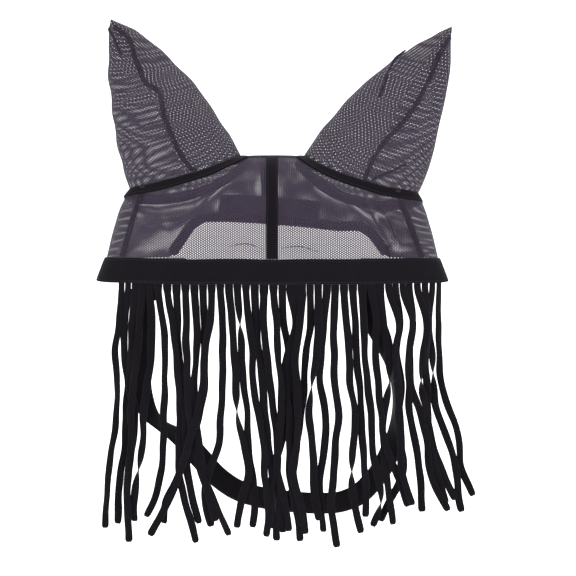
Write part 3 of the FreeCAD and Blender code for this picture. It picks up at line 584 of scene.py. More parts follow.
def finish(name, dark, pale, pattern, bump=0.4, depth_mm=0.25, rough=0.8, sheen=0.05, thread=None):
    """A cloth: its colour is mixed between two shades by a painted highlight on the pattern's raised crests
    and by uneven fading, with the pattern and fuzz as bump and a soft sheen; an open pattern also cuts the
    holes.
    """
    if name in bpy.data.materials:
        return bpy.data.materials[name]
    material = bpy.data.materials.new(name)
    material.use_nodes = True
    tree = material.node_tree
    tree.nodes.clear()
    shader, out = tree.nodes.new("ShaderNodeBsdfPrincipled"), tree.nodes.new("ShaderNodeOutputMaterial")
    tree.links.new(shader.outputs[0], out.inputs[0])
    lay = tree.nodes.new("ShaderNodeUVMap")
    lay.uv_map = "lay"
    place = tree.nodes.new("ShaderNodeTexCoord").outputs["Object"]

    def use(made, **values):
        node = tree.nodes.new("ShaderNodeGroup")
        node.node_tree = made
        for label, value in values.items():
            wire(tree, value, node.inputs[label])
        return node.outputs

    worn = use(wear(), Place=place)
    if pattern[0] == "net":
        cut = use(open_net(), Place=lay.outputs[0], Pitch=pattern[1], Opening=pattern[2])
        # The net's height serves both as its bump and as a painted highlight that makes the middle of each
        # yarn paler.
        height, painted_highlight = cut["Height"], cut["Height"]
        wire(tree, cut["Yarn"], shader.inputs["Alpha"])
    else:
        woven = use(ribs(), Place=lay.outputs[0], Along=pattern[1], Across=pattern[2], Share=pattern[3])
        height, painted_highlight = woven["Height"], woven["Light"]
    # Painted highlight on the raised crests, mixed with the real uneven fade, sets the shade and the
    # roughness.
    highlight_and_fade = maths(tree, "ADD", maths(tree, "MULTIPLY", painted_highlight, 0.55),
                 maths(tree, "MULTIPLY", worn["Fade"], 0.45))
    mix = tree.nodes.new("ShaderNodeMix")
    mix.data_type = "RGBA"
    wire(tree, highlight_and_fade, mix.inputs[0])
    mix.inputs[6].default_value, mix.inputs[7].default_value = (*dark, 1), (*pale, 1)
    colour, lift = mix.outputs[2], maths(tree, "ADD", height, maths(tree, "MULTIPLY", worn["Fuzz"], 0.25))
    if thread:
        sewn = use(stitch_row(), Place=lay.outputs[0], Offset=thread[0], Spacing=thread[1])["Thread"]
        lift = maths(tree, "ADD", lift, maths(tree, "MULTIPLY", sewn, 1.6))
        over = tree.nodes.new("ShaderNodeMix")
        over.data_type = "RGBA"
        wire(tree, sewn, over.inputs[0])
        tree.links.new(colour, over.inputs[6])
        over.inputs[7].default_value = (*[c * 2.0 + 0.004 for c in pale], 1)
        colour = over.outputs[2]
    tree.links.new(colour, shader.inputs["Base Color"])
    raised = tree.nodes.new("ShaderNodeBump")
    raised.inputs["Strength"].default_value = bump
    raised.inputs["Distance"].default_value = depth_mm * 0.001
    tree.links.new(lift, raised.inputs["Height"])
    tree.links.new(raised.outputs[0], shader.inputs["Normal"])
    wire(tree, spread(tree, highlight_and_fade, 0.0, 1.0, rough - 0.08, rough + 0.08), shader.inputs["Roughness"])
    shader.inputs["Sheen Weight"].default_value = sheen
    shader.inputs["Sheen Roughness"].default_value = 0.45
    shader.inputs["Specular IOR Level"].default_value = 0.07
    return material


def fly_mesh():
    """The net of the crown and ears."""
    s, c = bpy.context.scene.fly_mask_sizes, bpy.context.scene.fly_mask_colours
    return finish("net_yarn", [v * 0.7 for v in c.net], c.net, ("net", s.net_pitch, s.net_opening), 0.5,
                  0.3, 0.78, 0.1)


def plain(name, scale, pattern, **more):
    """A dark cloth in the tape colour, made darker or paler by scale."""
    c = bpy.context.scene.fly_mask_colours.tape
    return finish(name, [v * 0.55 * scale for v in c], [v * 1.35 * scale for v in c], pattern, **more)


# ---------------------------------------------------------------- settings

class FlyMaskSizes(bpy.types.PropertyGroup):
    """Sizes that a user would change."""
    net_pitch: FloatProperty(name="Net pitch", description="Distance between the net's holes",
                             default=0.0023, min=0.001, unit="LENGTH")
    net_opening: FloatProperty(name="Net opening",
                               description="Lower makes the net more open, on the scale of its waves",
                               default=1.5, min=-1.4, max=2.9)
    tape_width: FloatProperty(name="Front tape width", description="Width of the forehead tape",
                              default=0.013, min=0.004, unit="LENGTH")
    binding_width: FloatProperty(name="Binding width",
                                 description="Width of the ear bindings and the nape hem", default=0.012,
                                 min=0.004, unit="LENGTH")
    strand_width: FloatProperty(name="Strand width", description="Width of one fringe strand",
                                default=0.0084, min=0.002, unit="LENGTH")
    strand_thickness: FloatProperty(name="Strand thickness", description="Thickness of the fringe cloth",
                                    default=0.0011, min=0.0003, unit="LENGTH")
    seam_width: FloatProperty(name="Seam width", description="Width of the side seams", default=0.008,
                              min=0.003, unit="LENGTH")
    strap_width: FloatProperty(name="Strap width", description="Width of the throat strap", default=0.025,
                               min=0.01, unit="LENGTH")
    seed: IntProperty(name="Seed", description="Sets the small unevenness of the fringe and the net",
                      default=7, min=0)


class FlyMaskColours(bpy.types.PropertyGroup):
    """Colours that a user would change."""
    net: FloatVectorProperty(name="Net", description="Colour of the net's yarn", subtype="COLOR",
                             default=(0.038, 0.029, 0.047), min=0, max=1)
    tape: FloatVectorProperty(name="Tape", description="Colour of tapes, webbing and fringe",
                              subtype="COLOR", default=(0.0036, 0.0029, 0.0045), min=0, max=1)
    floor: FloatVectorProperty(name="Floor", description="Colour of the floor and backdrop",
                               subtype="COLOR", default=(0.93, 0.93, 0.93), min=0, max=1)


# ---------------------------------------------------------------- pieces

def front_edges(name):
    """A front panel's top and bottom as (across, rise): the top runs from the poll's middle along the crest
    and the socket's front rim to the side seam, the bottom from the middle to the seam's foot.
    """
    ear = EARS[name]
    s = np.linspace(0, 1, 85)
    corner_rise, _ = rim(ear, np.array([0.0]))
    corner = reach(corner_rise)[0]
    angles = np.linspace(0, math.pi, 400)
    rise, turn = rim(ear, angles)
    across = reach(rise) * np.cos(turn)
    stop = np.interp(ear["foot"][0] - 13, across[:380], angles[:380])
    angle = np.interp(s, [0.22, 1], [0, stop])
    on_rim, turned = rim(ear, angle)
    x = np.where(s < 0.22, corner * s / 0.22, reach(on_rim) * np.cos(turned))
    top = np.where(s < 0.22, 1 - (1 - corner_rise[0]) * (s / 0.22) ** 2, on_rim)
    return x, top, 168 * s ** 0.92


def front_panel(name):
    """A front panel as a grid: across and rise are mixed evenly from top to bottom, and the depth follows
    the crown.
    """
    side = EARS[name]["side"]
    x, top, foot = front_edges(name)
    t = np.linspace(0, 1, 56)[:, None]
    across, rise = x * (1 - t) + foot * t, top * (1 - t) - 0.03 * t
    return crown(side, rise, crown_turn(across, rise, -1.0)), rise


def rear_panel(name):
    """A rear panel as a grid: across the nape it is mixed in across and rise, and round the side it is
    mixed in the turn, to the side seam at the front.
    """
    ear = EARS[name]
    side = ear["side"]
    t = np.linspace(0, 1, 56)[:, None]
    start = -7.0 * side
    hem = hem_line(np.linspace(0, 1, 600))
    keep = hem[(hem[:, 0] * side > start) & (hem[:, 1] > -115)]
    keep = keep[np.argsort(keep[:, 0] * side)]
    low = np.concatenate([keep * [side, 1], [[165.0, -115.4]]])
    low[0, 0] = start
    run = np.concatenate([[0], np.cumsum(np.linalg.norm(np.diff(low, axis=0), axis=1))])
    s = np.linspace(0, 1, 70)
    foot, foot_rise = (np.interp(s, run / run[-1], low[:, k]) for k in (0, 1))
    foot_rise = 1 + foot_rise / CROWN_DROP
    corner_rise, _ = rim(ear, np.array([0.0]))
    corner = reach(corner_rise)[0]
    angles = 2 * math.pi - np.linspace(0, math.pi, 400)
    rise, turn = rim(ear, angles)
    end = np.interp(0.88 * ear["foot"][0], (reach(rise) * np.cos(turn))[:380], angles[:380])
    angle = np.interp(s, [0.25, 1], [2 * math.pi - 1e-6, end])
    on_rim, turned = rim(ear, angle)
    x = np.where(s < 0.25, start + (corner - start) * s / 0.25, reach(on_rim) * np.cos(turned))
    top = np.where(s < 0.25, 1 - (1 - corner_rise[0]) * (x / corner) ** 2, on_rim)
    across, high = x * (1 - t) + foot * t, top * (1 - t) + foot_rise * t
    turn_back = crown_turn(across, high, 1.0)
    seam_x, seam_top, _ = front_edges(name)
    seam_rise = seam_top[-1] * (1 - t) - 0.03 * t
    turn_front = crown_turn(seam_x[-1] * (1 - t) + 168 * t, seam_rise, -1.0)
    q = np.linspace(0, 1, 46)[None, 1:]
    wrap = turn_back[:, -1:] * (1 - q) + turn_front * q
    lower = halve(np.full(q.shape[1], 0.3), np.full(q.shape[1], 0.92),
                  lambda r: -CROWN_DROP * (1 - r) + lean(wrap[0]) * depth(r)
                  * np.sin(wrap[0]) - socket_height(ear, reach(r) * np.cos(wrap[0])))
    lower[-1] = seam_top[-1]
    wrap_rise = lower[None, :] * (1 - t) - 0.03 * t
    return crown(side, np.concatenate([high, wrap_rise], 1), np.concatenate([turn_back, wrap], 1)), \
        np.concatenate([high, wrap_rise], 1)


def down_lay(rise):
    """Length down the cloth from the poll to a rise, from the crown's slope at its middle."""
    table = np.linspace(0, 1, 400)
    run = np.concatenate([[0], np.cumsum(np.hypot(np.diff(table) * CROWN_DROP, np.diff(depth(table))))])
    return np.interp(rise, table, run) + np.minimum(rise, 0) * CROWN_DROP


# Pleats pinched in the net, as lines (across, height) with the face they lie on and their width.
STRAND_CUP = 0.25  # how far a strand curls across its width
FLOOR_DROP = 0.12  # the floor below the CAD box, metres, clear of the opened strap

FRONT_FOLDS = {
    "left": (((-83, -44), (-87, -66), 2.4, 2.2), ((-92, -42), (-93, -60), 2.2, 1.8),
             ((-46, -27), (-10, -25), 1.6, 1.4),
             ((-128, -52), (-104, -96), 5.0, 1.6), ((-60, -60), (-48, -100), 6.0, 1.2)),
    "right": (((104, -50), (127, -92), 3.0, 3.0), ((130, -96), (128, -108), 3.0, 2.2),
              ((8, -26), (52, -27), 1.6, 1.4),
              ((122, -58), (137, -96), 2.6, 2.2), ((66, -60), (48, -100), 6.0, 1.2)),
}

CROWN_PLEATS = (
    (((-87, -41), (-89, -54), (-86, -66)), 1, 1.9), (((-77, -43), (-75, -53), (-72, -62)), 1, 1.7),
    (((-61, -35), (-36, -32), (-9, -33)), 1, 1.5), (((8, -33), (32, -32.5), (56, -34), (84, -39)), 1, 1.5),
    (((104, -50), (112, -68), (127, -92)), -1, 2.6), (((122, -58), (131, -76), (137, -94)), -1, 2.0),
    (((130, -96), (126, -103), (131, -110)), -1, 3.0), (((9, -100), (30, -98), (52, -104)), -1, 1.2),
    (((-46, -98), (-28, -95), (-10, -101)), -1, 1.2),
)


class FLYMASK_OT_pleats(bpy.types.Operator):
    """Make the small pleats pinched in the crown's net."""
    bl_idname = "fly_mask.pleats"
    bl_label = "Crown pleats"

    def execute(self, context):
        seam = seam_cloth()
        for label, back in (("front", -1), ("rear", 1)):
            parts = []
            for path, face, width in CROWN_PLEATS:
                if face != back:
                    continue
                places = np.array(path, float)
                run = np.linspace(0, 1, len(places))
                flat = smooth_line(run, places, np.linspace(0, 1, 40))
                rise = 1 + flat[:, 1] / CROWN_DROP
                turn = crown_turn(np.abs(flat[:, 0]), rise, float(back))
                facing = crown_normal(1, rise, turn)
                facing[:, 0] *= np.sign(flat[:, 0])
                line = np.stack([flat[:, 0], depth(rise) * np.sin(turn), flat[:, 1]], -1) + facing * 1.0
                taper = np.sin(np.linspace(0.12, math.pi - 0.12, 40)) ** 0.6
                parts.append(webbing(line, facing, width * taper, 0.7))
            piece = put(f"net_pleats_{label}", parts, seam)
            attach(piece, "bonnet")
        return {"FINISHED"}


class FLYMASK_OT_crown(bpy.types.Operator):
    """Make the four net panels of the crown."""
    bl_idname = "fly_mask.crown"
    bl_label = "Crown net"

    def execute(self, context):
        sizes, net = context.scene.fly_mask_sizes, fly_mesh()
        for name, ear in EARS.items():
            side = ear["side"]
            points, rise = front_panel(name)
            hold = step(points[..., 2], -112, -96) * (1 - step(rise, 0.9, 0.99))
            out = np.array([0.0, -1.0, 0.15])
            for fold in FRONT_FOLDS[name]:
                points = points + (crease(points, *fold) * hold)[..., None] * out
            points = points + (ripple(points, sizes.seed + side, 46, 1.3) * hold)[..., None] * out
            front = put(f"net_front_{name}",
                        [cloth(points, weave_lay(points, down_lay(rise)) * [side, 1], side > 0)], net,
                        False)
            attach(front, "bonnet")
            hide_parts(f"front_mesh_{name}")
            points, rise = rear_panel(name)
            hold = step(points[..., 2], -112, -92) * (1 - step(rise, 0.88, 0.97))
            points = points + (ripple(points, sizes.seed + 10 + side, 52, 1.2) * hold)[...,
                    None] * np.array([0.0, 1.0, 0.1])
            rear = put(f"net_rear_{name}",
                       [cloth(points, weave_lay(points, down_lay(rise)) * [side, 1], side < 0)], net,
                       False)
            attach(rear, "bonnet")
            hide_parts(f"rear_mesh_{name}")
        return {"FINISHED"}


# Folds in the two front panels: start and end (across, height), width and height of each.


def ear_strip(name, path, width, thick, lift):
    """A strip lying on the front of an ear cover along given places (across, height) from its tip down."""
    ear = EARS[name]
    places = np.array(path, float)
    run = np.concatenate([[0], np.cumsum(np.linalg.norm(np.diff(places, axis=0), axis=1))])
    want = smooth_line(run, places, np.linspace(0, run[-1], 60))
    angle, along = np.full(60, math.pi / 2), np.linspace(0.97, 0.02, 60)
    for _ in range(12):
        here = ear_place(name, angle, along)
        ends = ear_place(name, np.zeros(60), along), ear_place(name, np.full(60, math.pi), along)
        span = np.abs(ends[1][:, 0] - ends[0][:, 0])
        share = np.clip((1 - np.cos(angle)) / 2 + (want[:, 0] - np.abs(here[:, 0])) / span, 0.04, 0.96)
        angle = np.arccos(1 - 2 * share)
        along = np.clip(along + (want[:, 1] - here[:, 2]) / 170, 0.012, 0.985)
    facing = ear_normal(name, angle, along)
    facing = facing * np.where(facing[:, 1:2] > 0, -1, 1)
    return webbing(ear_place(name, angle, along) + facing * lift, facing, width, thick)


class FLYMASK_OT_ears(bpy.types.Operator):
    """Make the two ear covers with their seams and pleats."""
    bl_idname = "fly_mask.ears"
    bl_label = "Ear covers"

    def execute(self, context):
        sizes, net = context.scene.fly_mask_sizes, fly_mesh()
        seam = seam_cloth()
        for name, ear in EARS.items():
            side = ear["side"]
            angle = np.linspace(math.pi / 2, math.pi / 2 + 2 * math.pi, 121)[None, :]
            along = np.concatenate([[0.0], np.linspace(0.015, 1, 88)])[:, None]
            angle, along = np.broadcast_arrays(angle, along)
            points = ear_place(name, angle, along)
            facing = ear_normal(name, angle, along)
            facing = facing * np.where((facing[..., 1] * -np.sin(angle)) + facing[...,
                    0] * side * -np.cos(angle) < 0, -1, 1)[..., None]
            hold = step(along, 0.02, 0.16) * (1 - step(along, 0.93, 1.0))
            push = ripple(points, sizes.seed + 30 + side, 40, 1.1)
            for start, end, width, height in ear["folds"]:
                push = push + crease(points, start, end, width, height, side) * (points[..., 1] < 0)
            points = points + facing * (push * hold)[..., None]
            points[0] += np.array([0, 0, -3.0]) - facing[0] * 1.2
            down = np.concatenate([[0],
                                   np.cumsum(np.linalg.norm(np.diff(points, axis=0), axis=-1).mean(1))])
            lay = weave_lay(points, -down[:, None])
            ear_cloth = put(f"ear_cover_{name}", [cloth(points, lay, side > 0)], net, False)
            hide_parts(f"ear_{name}_cuff", f"ear_{name}_pocket")
            strips = put(f"ear_seam_{name}", [ear_strip(name, ear["seam"], 5.6, 1.3, 1.6)], seam)
            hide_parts(f"ear_{name}_seam")
            pleats = put(f"ear_pleats_{name}",
                         [ear_strip(name, (a, ((a[0] + b[0]) / 2, (a[1] + b[1]) / 2), b), 3.0, 0.7, 3.2)
                                                for a, b, w, h in ear["folds"] if h > 2.1], seam)
            for piece in (ear_cloth, strips, pleats):
                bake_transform(piece)
        return {"FINISHED"}


def seam_cloth():
    """Turned-in net at the seams: the same net, several layers thick."""
    c = bpy.context.scene.fly_mask_colours.net
    return finish("seam_cloth", [v * 0.35 for v in c], [v * 0.8 for v in c], ("net", 0.0019, 1.9), 0.6, 0.3,
                  0.8, 0.1)


class FLYMASK_OT_bindings(bpy.types.Operator):
    """Make the folded tape round each ear socket."""
    bl_idname = "fly_mask.bindings"
    bl_label = "Ear bindings"

    def execute(self, context):
        width = context.scene.fly_mask_sizes.binding_width * 1000
        tape = plain("binding_weave", 1.0, ("ribs", 0.0011, 0.0009, 0.5), thread=(0.0042, 0.0028))
        for name, ear in EARS.items():
            angle = np.linspace(0, 2 * math.pi, 240, endpoint=False)
            rise, turn = rim(ear, angle)
            edge = crown(ear["side"], rise, turn)
            facing = crown_normal(ear["side"], rise, turn)
            ahead = unit(np.roll(edge, -1, 0) - np.roll(edge, 1, 0))
            across = unit(np.cross(ahead, facing))
            across = across * np.where(across[:, 2:3] > 0, -1, 1)
            smooth = np.ones(9) / 9
            for k in range(3):
                across[:, k] = np.convolve(np.concatenate([across[-4:, k], across[:, k], across[:4, k]]),
                                           smooth, "valid")
            line = edge + across * (width / 2 - 1.5) + facing * 0.5
            line[:, 2] += ripple(line, 4, 40, 0.5)
            binding = put(f"binding_{name}", [webbing(line, facing, width, 2.4, closed=True)], tape)
            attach(binding, "bonnet")
            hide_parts(f"ear_{name}_binding")
        return {"FINISHED"}


class FLYMASK_OT_nape(bpy.types.Operator):
    """Make the hem round the nape opening and the patch above it."""
    bl_idname = "fly_mask.nape"
    bl_label = "Nape hem and patch"

    def execute(self, context):
        width = context.scene.fly_mask_sizes.binding_width * 1000
        tape = plain("hem_tape", 1.0, ("ribs", 0.0011, 0.0009, 0.5), thread=(0.0043, 0.0028))
        flat = hem_line(np.linspace(0, 1, 150))
        rise = 1 + flat[:, 1] / CROWN_DROP
        turn = crown_turn(np.abs(flat[:, 0]), rise, 1.0)
        line = np.stack([flat[:, 0], depth(rise) * np.sin(turn) + 0.4, flat[:, 1]], axis=-1)
        facing = crown_normal(1, rise, turn)
        facing[:, 0] *= np.sign(flat[:, 0] + 1e-6)
        hem = put("nape_hem", [webbing(line, facing, width, 2.2)], tape)
        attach(hem, "bonnet")
        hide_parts("rear_hem")
        low, high = node_box("poll_patch")
        x = np.linspace(low[0], high[0], 60)
        z = (low[2] + high[2]) / 2
        rise = np.full(60, 1 + z / CROWN_DROP)
        turn = crown_turn(np.abs(x), rise, 1.0)
        line = np.stack([x, depth(rise) * np.sin(turn) + 2.0,
                         z + 1.5 - 4.0 * (x / 60) - 1.5 * (x / 60) ** 2], axis=-1)
        facing = unit(np.stack([0.2 * x / 60, np.ones(60), np.full(60, 0.33)], axis=-1))
        web = plain("patch_weave", 0.9, ("ribs", 0.0021, 0.0016, 0.45), thread=(0.0095, 0.0032),
                    depth_mm=0.35)
        patch = put("poll_pad", [webbing(line, facing, high[2] - low[2], 1.7)], web)
        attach(patch, "bonnet")
        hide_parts("poll_patch")
        return {"FINISHED"}


class FLYMASK_OT_tapes(bpy.types.Operator):
    """Make the forehead tape, the rear tape and the poll seam."""
    bl_idname = "fly_mask.tapes"
    bl_label = "Centre tapes"

    def execute(self, context):
        width = context.scene.fly_mask_sizes.tape_width * 1000
        tape = plain("centre_tape", 1.0, ("ribs", 0.0014, 0.0009, 0.5), thread=(0.0046, 0.003))
        for name, across, back, stop, node in (("forehead_tape", 0.0, -1.0, 0.0, "front_centre_tape"),
                                               ("rear_tape", -7.0, 1.0, 0.56, "rear_centre_tape")):
            rise = 1 - np.linspace(0, 1 - stop, 60) ** 1.6 / (1 - stop) ** 0.6
            turn = np.arccos(across / reach(rise)) * back
            line, facing = crown(1, rise, turn), crown_normal(1, rise, turn)
            facing = unit(facing + [0, 0, 0.02])
            piece = put(name, [webbing(line + facing * 1.2, facing, width, 1.4)], tape)
            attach(piece, "bonnet")
            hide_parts(node)
        x = np.linspace(-35, 35, 50)
        line = np.stack([x, 0 * x, 0.9 - 1.6 * (x / 35) ** 4], axis=-1)
        crest = put("poll_join", [webbing(line, (0, 0, 1), 9, 2.0, cup=2.4)], seam_cloth())
        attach(crest, "bonnet")
        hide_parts("poll_seam")
        return {"FINISHED"}


class FLYMASK_OT_side_seams(bpy.types.Operator):
    """Make the two side seams, from the ear bindings down to the browband."""
    bl_idname = "fly_mask.side_seams"
    bl_label = "Side seams"

    def execute(self, context):
        width = context.scene.fly_mask_sizes.seam_width * 1000
        seam = seam_cloth()
        for name, ear in EARS.items():
            x, top, _ = front_edges(name)
            t = np.linspace(0.02, 1, 70)
            rise = top[-1] * (1 - t) - 0.03 * t
            turn = crown_turn(x[-1] * (1 - t) + 168 * t, rise, -1.0)
            facing = crown_normal(ear["side"], rise, turn)
            line = crown(ear["side"], rise, turn) + facing * 1.0
            wave = width + ripple(line, 21, 22, 0.6)
            piece = put(f"side_join_{name}", [webbing(line, facing, wave, 1.6)], seam)
            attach(piece, "bonnet")
            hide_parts(f"side_seam_{name}")
        return {"FINISHED"}


class FLYMASK_OT_browband(bpy.types.Operator):
    """Make the browband and its lining, open behind."""
    bl_idname = "fly_mask.browband"
    bl_label = "Browband"

    def execute(self, context):
        ribbed = plain("brow_weave", 1.05, ("ribs", 0.0046, 0.0012, 0.62), thread=(0.0118, 0.0034),
                       depth_mm=0.3)
        lining = plain("lining_tape", 0.9, ("ribs", 0.0018, 0.0013, 0.5), thread=(0.0108, 0.0034))
        for name, inset, width, thick, cloth_used, node in (("brow_tape", 0.65, 28.0, 1.5, ribbed,
                                                             "browband_face"),
                                                            ("brow_lining", 1.95, 26.0, 1.0, lining,
                                                             "browband_lining")):
            turn = np.linspace(math.radians(58.5), math.radians(121.5 - 360), 320)
            high = np.stack([(188.6 - inset) * np.cos(turn), (52 - inset) * np.sin(turn),
                             np.full(320, -112.0)], -1)
            low = np.stack([(199.5 - inset) * np.cos(turn), (52 - inset) * np.sin(turn),
                            np.full(320, -140.0)], -1)
            line = (high + low) / 2
            line[:, 2] += ripple(line, 3, 90, 0.5) - 4.0 * step(np.sin(turn), 0.0, 0.8)
            facing = unit(np.stack([np.cos(turn) / 190, np.sin(turn) / 52, 0 * turn], -1))
            facing = unit(facing - unit(high - low) * (facing * unit(high - low)).sum(-1, keepdims=True))
            piece = put(name, [webbing(line, facing, width, thick)], cloth_used)
            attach(piece, "bonnet")
            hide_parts(node)
        return {"FINISHED"}


def strand_layers(places):
    """Gives each strand a layer in depth, so that strands that come within a strand's width of each other
    lie in different ones.
    """
    order = [0, 1, -1, 2, -2, 3, -3, 4]
    layers = []
    for i, row in enumerate(places):
        taken = {layers[j] for j in range(i) if (np.abs(places[j] - row) < 9.6).any()}
        layers.append(next((k for k in order if k not in taken), 5))
    return np.array(layers, float)


class FLYMASK_OT_fringe(bpy.types.Operator):
    """Make the fringe: ten locks of four strands, cut from one cloth."""
    bl_idname = "fly_mask.fringe"
    bl_label = "Fringe"

    def execute(self, context):
        sizes = context.scene.fly_mask_sizes
        rng = np.random.default_rng(sizes.seed)
        knit = plain("fringe_knit", 1.0, ("ribs", 0.0012, 0.0009, 0.45), depth_mm=0.22, rough=0.86,
                     sheen=0.07)
        table = np.array(STRANDS, float)
        first = np.concatenate([[2 * table[0, 0] - table[2, 0], 2 * table[0, 0] - table[1, 0]], table[:, 0],
                                [2 * table[-1, 0] - table[-2, 0] + 8,
                                 2 * table[-1, 0] - table[-3, 0] + 16]])
        tops = np.convolve(first, np.array([1, 2, 3, 2, 1]) / 9, "valid")
        tops = np.interp(np.arange(40), [0, 39], [-167.0, 183.0]) * 0.35 + np.sort(tops) * 0.65
        gaps = np.gradient(tops)
        full = np.concatenate([tops[:, None], table[:, 1:9]], axis=1)
        layers = strand_layers(full[:, 1:])
        for lock in range(10):
            parts, area = [], 0.0
            for i in range(lock * 4, lock * 4 + 4):
                tip = table[i, 9] + 140
                knots = np.concatenate([[137.5, 142.0], np.array(STRAND_DEPTHS)])
                values = np.concatenate([[tops[i], tops[i]], table[i, 1:8]])
                keep = knots < tip - 14
                knots = np.append(knots[keep], tip)
                values = np.append(values[keep], table[i, 8])
                down = np.linspace(137.5, tip, 110)
                x = smooth_line(knots, values, down)
                fall = down - 140
                start, lower, wide = rng.uniform(143, 149.5), rng.uniform(0, 6.28, 4), rng.uniform(-1, 1, 3)
                x = x + step(fall, 10,
                             70) * (0.7 * np.sin(fall / 17 + lower[0]) + 0.5
                                    * np.sin(fall / 7.5 + lower[3]) * np.sin(fall / 29 + lower[1]))
                y = -50.9 * np.sqrt(np.clip(1 - (np.clip(tops[i], -190, 190) / 194.9) ** 2, 0, 1)) + 0.35
                y = y + layers[i] * 2.6 * step(fall, 4, 42) + step(fall, 20, 140) * (
                    1.1 * np.sin(fall / 31 + lower[1]) + 0.8 * np.sin(fall / 14 + lower[2]) - 1.5)
                y = y + 4.5 * step(fall, 40, 270) * wide[2]
                lean = math.atan2(50.9 * tops[i], 194.9 * math.sqrt(max(194.9**2 - tops[i] ** 2, 400)))
                twist = step(fall, 8, 70) * (math.radians(26) * wide[0] * np.sin(fall / 60 + lower[3])
                                             + math.radians(20) * np.sin(fall / 13 + lower[1])
                                             * np.sin(fall / 41 + lower[2]))
                if table[i, 10]:
                    at = STRAND_DEPTHS[int(table[i, 10]) - 1]
                    twist = twist + math.pi * step(down, at - 30, at + 30)
                slant = lean * (1 - step(fall, 0, 120) * 0.85) + twist
                line = np.stack([x, y, -down], axis=-1)
                facing = np.stack([np.sin(slant), -np.cos(slant), 0 * slant], axis=-1)
                width = sizes.strand_width * 1000 * (1 + 0.05 * wide[1] + 0.06
                                                     * np.sin(down / 9 + lower[2])
                                                     * np.sin(down / 23 + lower[0]))
                whole = gaps[i] * 0.985
                width = whole + (width - whole) * step(down, start - 3, start + 5)
                width = width * (1 - 0.35 * step(down, tip - 3, tip))
                parts.append(webbing(line, facing, width, sizes.strand_thickness * 1000,
                                     cup=STRAND_CUP))
                area += float((width[1:] * np.diff(down)).sum()) * 1e-6
            body = f"fringe_lock_{lock + 1:02d}"
            piece = put(f"fringe_strands_{lock + 1:02d}", parts, knit)
            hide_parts(body)
            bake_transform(piece)
        return {"FINISHED"}


class FLYMASK_OT_straps(bpy.types.Operator):
    """Make the throat strap, its tabs and its hook-and-loop closure."""
    bl_idname = "fly_mask.straps"
    bl_label = "Throat strap"

    def execute(self, context):
        width = context.scene.fly_mask_sizes.strap_width * 1000
        elastic = plain("elastic_weave", 1.0, ("ribs", 0.0017, 0.0012, 0.62), thread=(0.0112, 0.004),
                        depth_mm=0.3, rough=0.78, sheen=0.02)
        places = np.array(STRAP, float)
        run = np.concatenate([[0], np.cumsum(np.linalg.norm(np.diff(places[:, :2], axis=0), axis=1))])
        fine = smooth_line(run, places, np.linspace(0, run[-1], 260))
        line = np.stack([fine[:, 0], 36.8 + 2.0 * np.sin(np.linspace(0, math.pi, 260)), fine[:, 1]],
                        axis=-1)
        ahead, turn = unit(np.gradient(line, axis=0)), np.radians(fine[:, 2:3])
        flat = unit(np.cross(ahead, np.array([0.0, 1.0, 0.0])))
        facing = np.cross(flat, ahead) * -np.cos(turn) + flat * np.sin(turn)
        strap = put("throat_webbing", [webbing(line, facing, width, 1.6)], elastic)
        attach(strap, "strap_loop")
        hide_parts("throat_strap")
        hooks = plain("hook_pile", 1.1, ("ribs", 0.0016, 0.0016, 0.5), depth_mm=0.6, bump=0.8, rough=0.6)
        loops = plain("loop_pile", 1.3, ("ribs", 0.0009, 0.0013, 0.5), depth_mm=0.5, bump=0.9, rough=0.95,
                      sheen=0.3)
        for node, piece_name, body, material, slot in (
                ("strap_anchor_left", "anchor_left", "bonnet", elastic, "elastic_webbing"),
                ("strap_anchor_right", "anchor_right", "bonnet", elastic, "elastic_webbing"),
                ("strap_tab_left", "tab_left", "strap_root", elastic, "elastic_webbing"),
                ("strap_tab_right", "tab_right", "closure_tab", elastic, "elastic_webbing"),
                ("loop_patch", "loop_pad", "closure_tab", loops, "loop_tape"),
                ("hook_patch", "hook_pad", "strap_loop", hooks, "hook_tape")):
            low, high = node_box(node)
            z = np.linspace(high[2], low[2], 24)
            line = np.stack([np.full(24, (low[0] + high[0]) / 2), np.full(24, (low[1] + high[1]) / 2), z],
                            axis=-1)
            thick = min(high[1] - low[1], 1.7)
            piece = put(piece_name, [webbing(line, (0, -1, 0), high[0] - low[0], thick)], material)
            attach(piece, body)
            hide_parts(node)
        return {"FINISHED"}


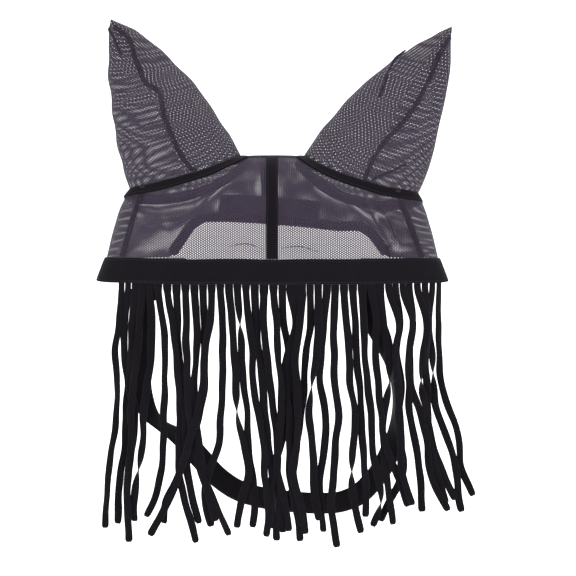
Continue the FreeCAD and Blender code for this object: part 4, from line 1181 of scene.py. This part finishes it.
class FLYMASK_OT_stage(bpy.types.Operator):
    """Make the floor and backdrop, the lights and the camera."""
    bl_idname = "fly_mask.stage"
    bl_label = "Stage"

    def execute(self, context):
        scene = context.scene
        floor = bpy.data.materials.new("paper")
        floor.use_nodes = True
        shader = floor.node_tree.nodes["Principled BSDF"]
        shader.inputs["Base Color"].default_value = (*scene.fly_mask_colours.floor, 1)
        shader.inputs["Roughness"].default_value = 0.9
        shader.inputs["Emission Color"].default_value = (1, 1, 1, 1)
        shader.inputs["Emission Strength"].default_value = 0.45
        # The sweep runs flat from the front, then up a quarter circle of 1.2 m radius into a wall.
        bend = np.linspace(0, math.pi / 2, 24)
        run = np.concatenate([[-6.0], 1.4 + 1.2 * np.sin(bend), [2.6]])
        rise = np.concatenate([[0.0], 1.2 - 1.2 * np.cos(bend), [6.0]]) + CAD_BOX[0][2] - FLOOR_DROP
        across = np.linspace(-6, 6, 3)
        points = np.stack(np.broadcast_arrays(across[None, :], run[:, None], rise[:, None]), -1)
        base, faces, lay = cloth(points, points[..., :2])
        mesh = bpy.data.meshes.new("sweep")
        mesh.from_pydata(base.tolist(), [], faces)
        mesh.polygons.foreach_set("use_smooth", np.ones(len(faces), bool))
        mesh.materials.append(floor)
        sweep = bpy.data.objects.new("sweep", mesh)
        scene.collection.objects.link(sweep)
        world = bpy.data.worlds.new("studio")
        world.use_nodes = True
        world.node_tree.nodes["Background"].inputs[0].default_value = (1, 1, 1, 1)
        world.node_tree.nodes["Background"].inputs[1].default_value = 1.0
        scene.world = world
        scene.view_settings.view_transform = "Standard"
        for name, place, size, power in (("key", (-1.2, -1.9, 1.5), 1.6, 30), ("fill", (1.6, -1.7, 0.5),
                1.8, 18), ("top", (0.1, 0.5, 1.9), 1.6, 16)):
            lamp = bpy.data.lights.new(name, "AREA")
            lamp.size, lamp.energy = size, power
            made = bpy.data.objects.new(name, lamp)
            made.location = place
            made.rotation_euler = (-Vector(place) + Vector((0, 0, -0.15))).to_track_quat("-Z",
                    "Y").to_euler()
            scene.collection.objects.link(made)
        view = bpy.data.cameras.new("camera")
        view.lens, view.sensor_width, view.clip_start, view.clip_end = 100, 36, 0.05, 30
        camera = bpy.data.objects.new("camera", view)
        tilt = math.radians(4.5)
        aim = Vector((0.0176, -0.045, -0.144))
        back = Vector((0, -math.cos(tilt), math.sin(tilt)))
        camera.location = aim + back * 1.76
        camera.rotation_euler = (-back).to_track_quat("-Z", "Y").to_euler()
        scene.collection.objects.link(camera)
        scene.camera = camera
        return {"FINISHED"}


OPERATORS = (FLYMASK_OT_stage, FLYMASK_OT_crown, FLYMASK_OT_pleats, FLYMASK_OT_bindings, FLYMASK_OT_ears,
             FLYMASK_OT_nape, FLYMASK_OT_tapes,
             FLYMASK_OT_side_seams, FLYMASK_OT_browband, FLYMASK_OT_fringe, FLYMASK_OT_straps)


class FLYMASK_PT_panel(bpy.types.Panel):
    """Lists the settings and one button for each group of pieces."""
    bl_idname = "FLYMASK_PT_panel"
    bl_label = "Fly Mask"
    bl_space_type = "VIEW_3D"
    bl_region_type = "UI"
    bl_category = "Fly Mask"

    def draw(self, context):
        for settings in (context.scene.fly_mask_sizes, context.scene.fly_mask_colours):
            for label in settings.__annotations__:
                self.layout.prop(settings, label)
        for operator in OPERATORS:
            self.layout.operator(operator.bl_idname)


CLASSES = (FlyMaskSizes, FlyMaskColours, *OPERATORS, FLYMASK_PT_panel)


def register():
    """Registers the classes and hangs the settings on the scene."""
    for item in CLASSES:
        bpy.utils.register_class(item)
    bpy.types.Scene.fly_mask_sizes = PointerProperty(type=FlyMaskSizes)
    bpy.types.Scene.fly_mask_colours = PointerProperty(type=FlyMaskColours)


def unregister():
    """Removes the settings and the classes."""
    del bpy.types.Scene.fly_mask_colours
    del bpy.types.Scene.fly_mask_sizes
    for item in reversed(CLASSES):
        bpy.utils.unregister_class(item)


def main():
    """Makes every piece in order."""
    register()
    for operator in OPERATORS:
        area, name = operator.bl_idname.split(".")
        getattr(getattr(bpy.ops, area), name)()


if __name__ == "__main__":
    main()
